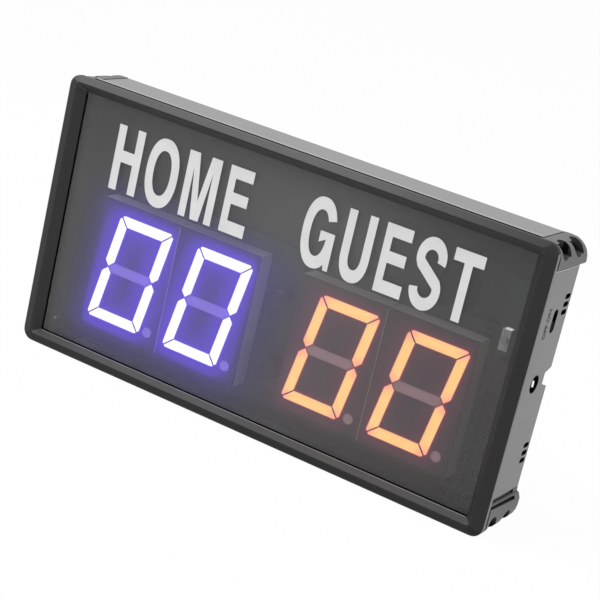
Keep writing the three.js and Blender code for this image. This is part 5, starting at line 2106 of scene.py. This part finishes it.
@dataclass
class Studio:
    """White surroundings, a pale floor, soft lamps and the camera."""

    ambient: float = 0.42
    floor_size: float = 12.0
    floor_white: float = 0.97
    floor_grey: int = 225
    floor_drop: float = 0.0002
    softboxes: tuple[Softbox, ...] = (
        Softbox("key_softbox", (-0.42, -0.4, 1.05), 0.7, 12.5),
        Softbox("right_softbox", (1.2, 0.25, 0.42), 0.6, 6.3),
        Softbox("front_fill", (0.0, -1.1, 0.12), 0.8, 3.4),
    )
    camera_place: Triple = (0.34835, -0.64632, 0.2785)
    camera_right: Triple = (0.831484, 0.510062, 0.220162)
    camera_up: Triple = (-0.332245, 0.138936, 0.932904)
    camera_back: Triple = (0.445251, -0.848842, 0.284989)
    lens: float = 107.77
    sensor: float = 36.0
    nearest: float = 0.01
    shift: float = 0.5 / 600

    def build(self) -> None:
        """Builds the studio."""
        bpy.context.scene.view_settings.view_transform = "Standard"
        self.build_world()
        self.build_floor()
        for softbox in self.softboxes:
            softbox.hang()
        self.build_camera()

    @staticmethod
    def seen_directly(tree: bpy.types.NodeTree) -> bpy.types.NodeSocket:
        """Whether a ray comes from the camera, a reflection or glass.

        Args:
            tree: The nodes it is added to.

        Returns:
            1 for such a ray.
        """
        path = tree.nodes.new("ShaderNodeLightPath")
        found = path.outputs["Is Camera Ray"]
        for name in ("Is Glossy Ray", "Is Transmission Ray"):
            either = tree.nodes.new("ShaderNodeMath")
            either.operation = "MAXIMUM"
            tree.links.new(found, either.inputs[0])
            tree.links.new(path.outputs[name], either.inputs[1])
            found = either.outputs["Value"]
        return found

    def build_world(self) -> None:
        """Makes the surroundings: white where they are seen, dimmer as light."""
        world = bpy.data.worlds.new("studio_world")
        bpy.context.scene.world = world
        world.use_nodes = True
        tree = world.node_tree
        tree.nodes.clear()
        output = tree.nodes.new("ShaderNodeOutputWorld")
        background = tree.nodes.new("ShaderNodeBackground")
        strength = tree.nodes.new("ShaderNodeMapRange")
        tree.links.new(self.seen_directly(tree), strength.inputs["Value"])
        strength.inputs["To Min"].default_value = self.ambient
        strength.inputs["To Max"].default_value = 1.0
        tree.links.new(strength.outputs["Result"], background.inputs["Strength"])
        background.inputs["Color"].default_value = (1, 1, 1, 1)
        tree.links.new(background.outputs["Background"], output.inputs["Surface"])

    def build_floor(self) -> None:
        """Lays the pale floor, white where it is seen, apart from the object's shadow."""
        plane = bpy.ops.mesh.primitive_plane_add
        floor = Bench.added("studio_floor", plane, size=self.floor_size)
        floor.data.transform(Matrix.Translation((0, 0, -self.floor_drop)))
        nodes = NodeBoard("pale_floor")
        diffuse = nodes.node("ShaderNodeBsdfDiffuse")
        nodes.feed(diffuse.inputs["Color"], grey(self.floor_grey))
        white = nodes.node("ShaderNodeEmission")
        mix = nodes.node("ShaderNodeMixShader")
        share = nodes.maths("MULTIPLY", self.seen_directly(nodes.tree), self.floor_white)
        nodes.feed(mix.inputs[0], share)
        nodes.tree.links.new(diffuse.outputs[0], mix.inputs[1])
        nodes.tree.links.new(white.outputs[0], mix.inputs[2])
        nodes.tree.links.new(mix.outputs[0], nodes.output.inputs["Surface"])
        floor.data.materials.append(nodes.material)

    def build_camera(self) -> None:
        """Sets the camera at the photograph's viewing angle."""
        data = bpy.data.cameras.new("studio_camera")
        data.sensor_width = self.sensor
        data.lens = self.lens
        data.shift_x = -self.shift
        data.shift_y = self.shift
        data.clip_start = self.nearest
        camera = bpy.data.objects.new("studio_camera", data)
        bpy.context.scene.collection.objects.link(camera)
        axes = Matrix((self.camera_right, self.camera_up, self.camera_back)).transposed()
        camera.matrix_world = Matrix.Translation(self.camera_place) @ axes.to_4x4()
        bpy.context.scene.camera = camera


def main() -> None:
    """Builds the scoreboard piece by piece and sets up the studio."""
    logging.basicConfig(level=logging.INFO, format="%(name)s: %(message)s")
    digits = DigitBank()
    FrontBezel().build()
    SmokedPanel().build(digits)
    Lettering().build()
    digits.build()
    BodyShell().build()
    Linings().build()
    SidePorts().build()
    Electronics().build()
    Studio().build()


if __name__ == "__main__":
    main()
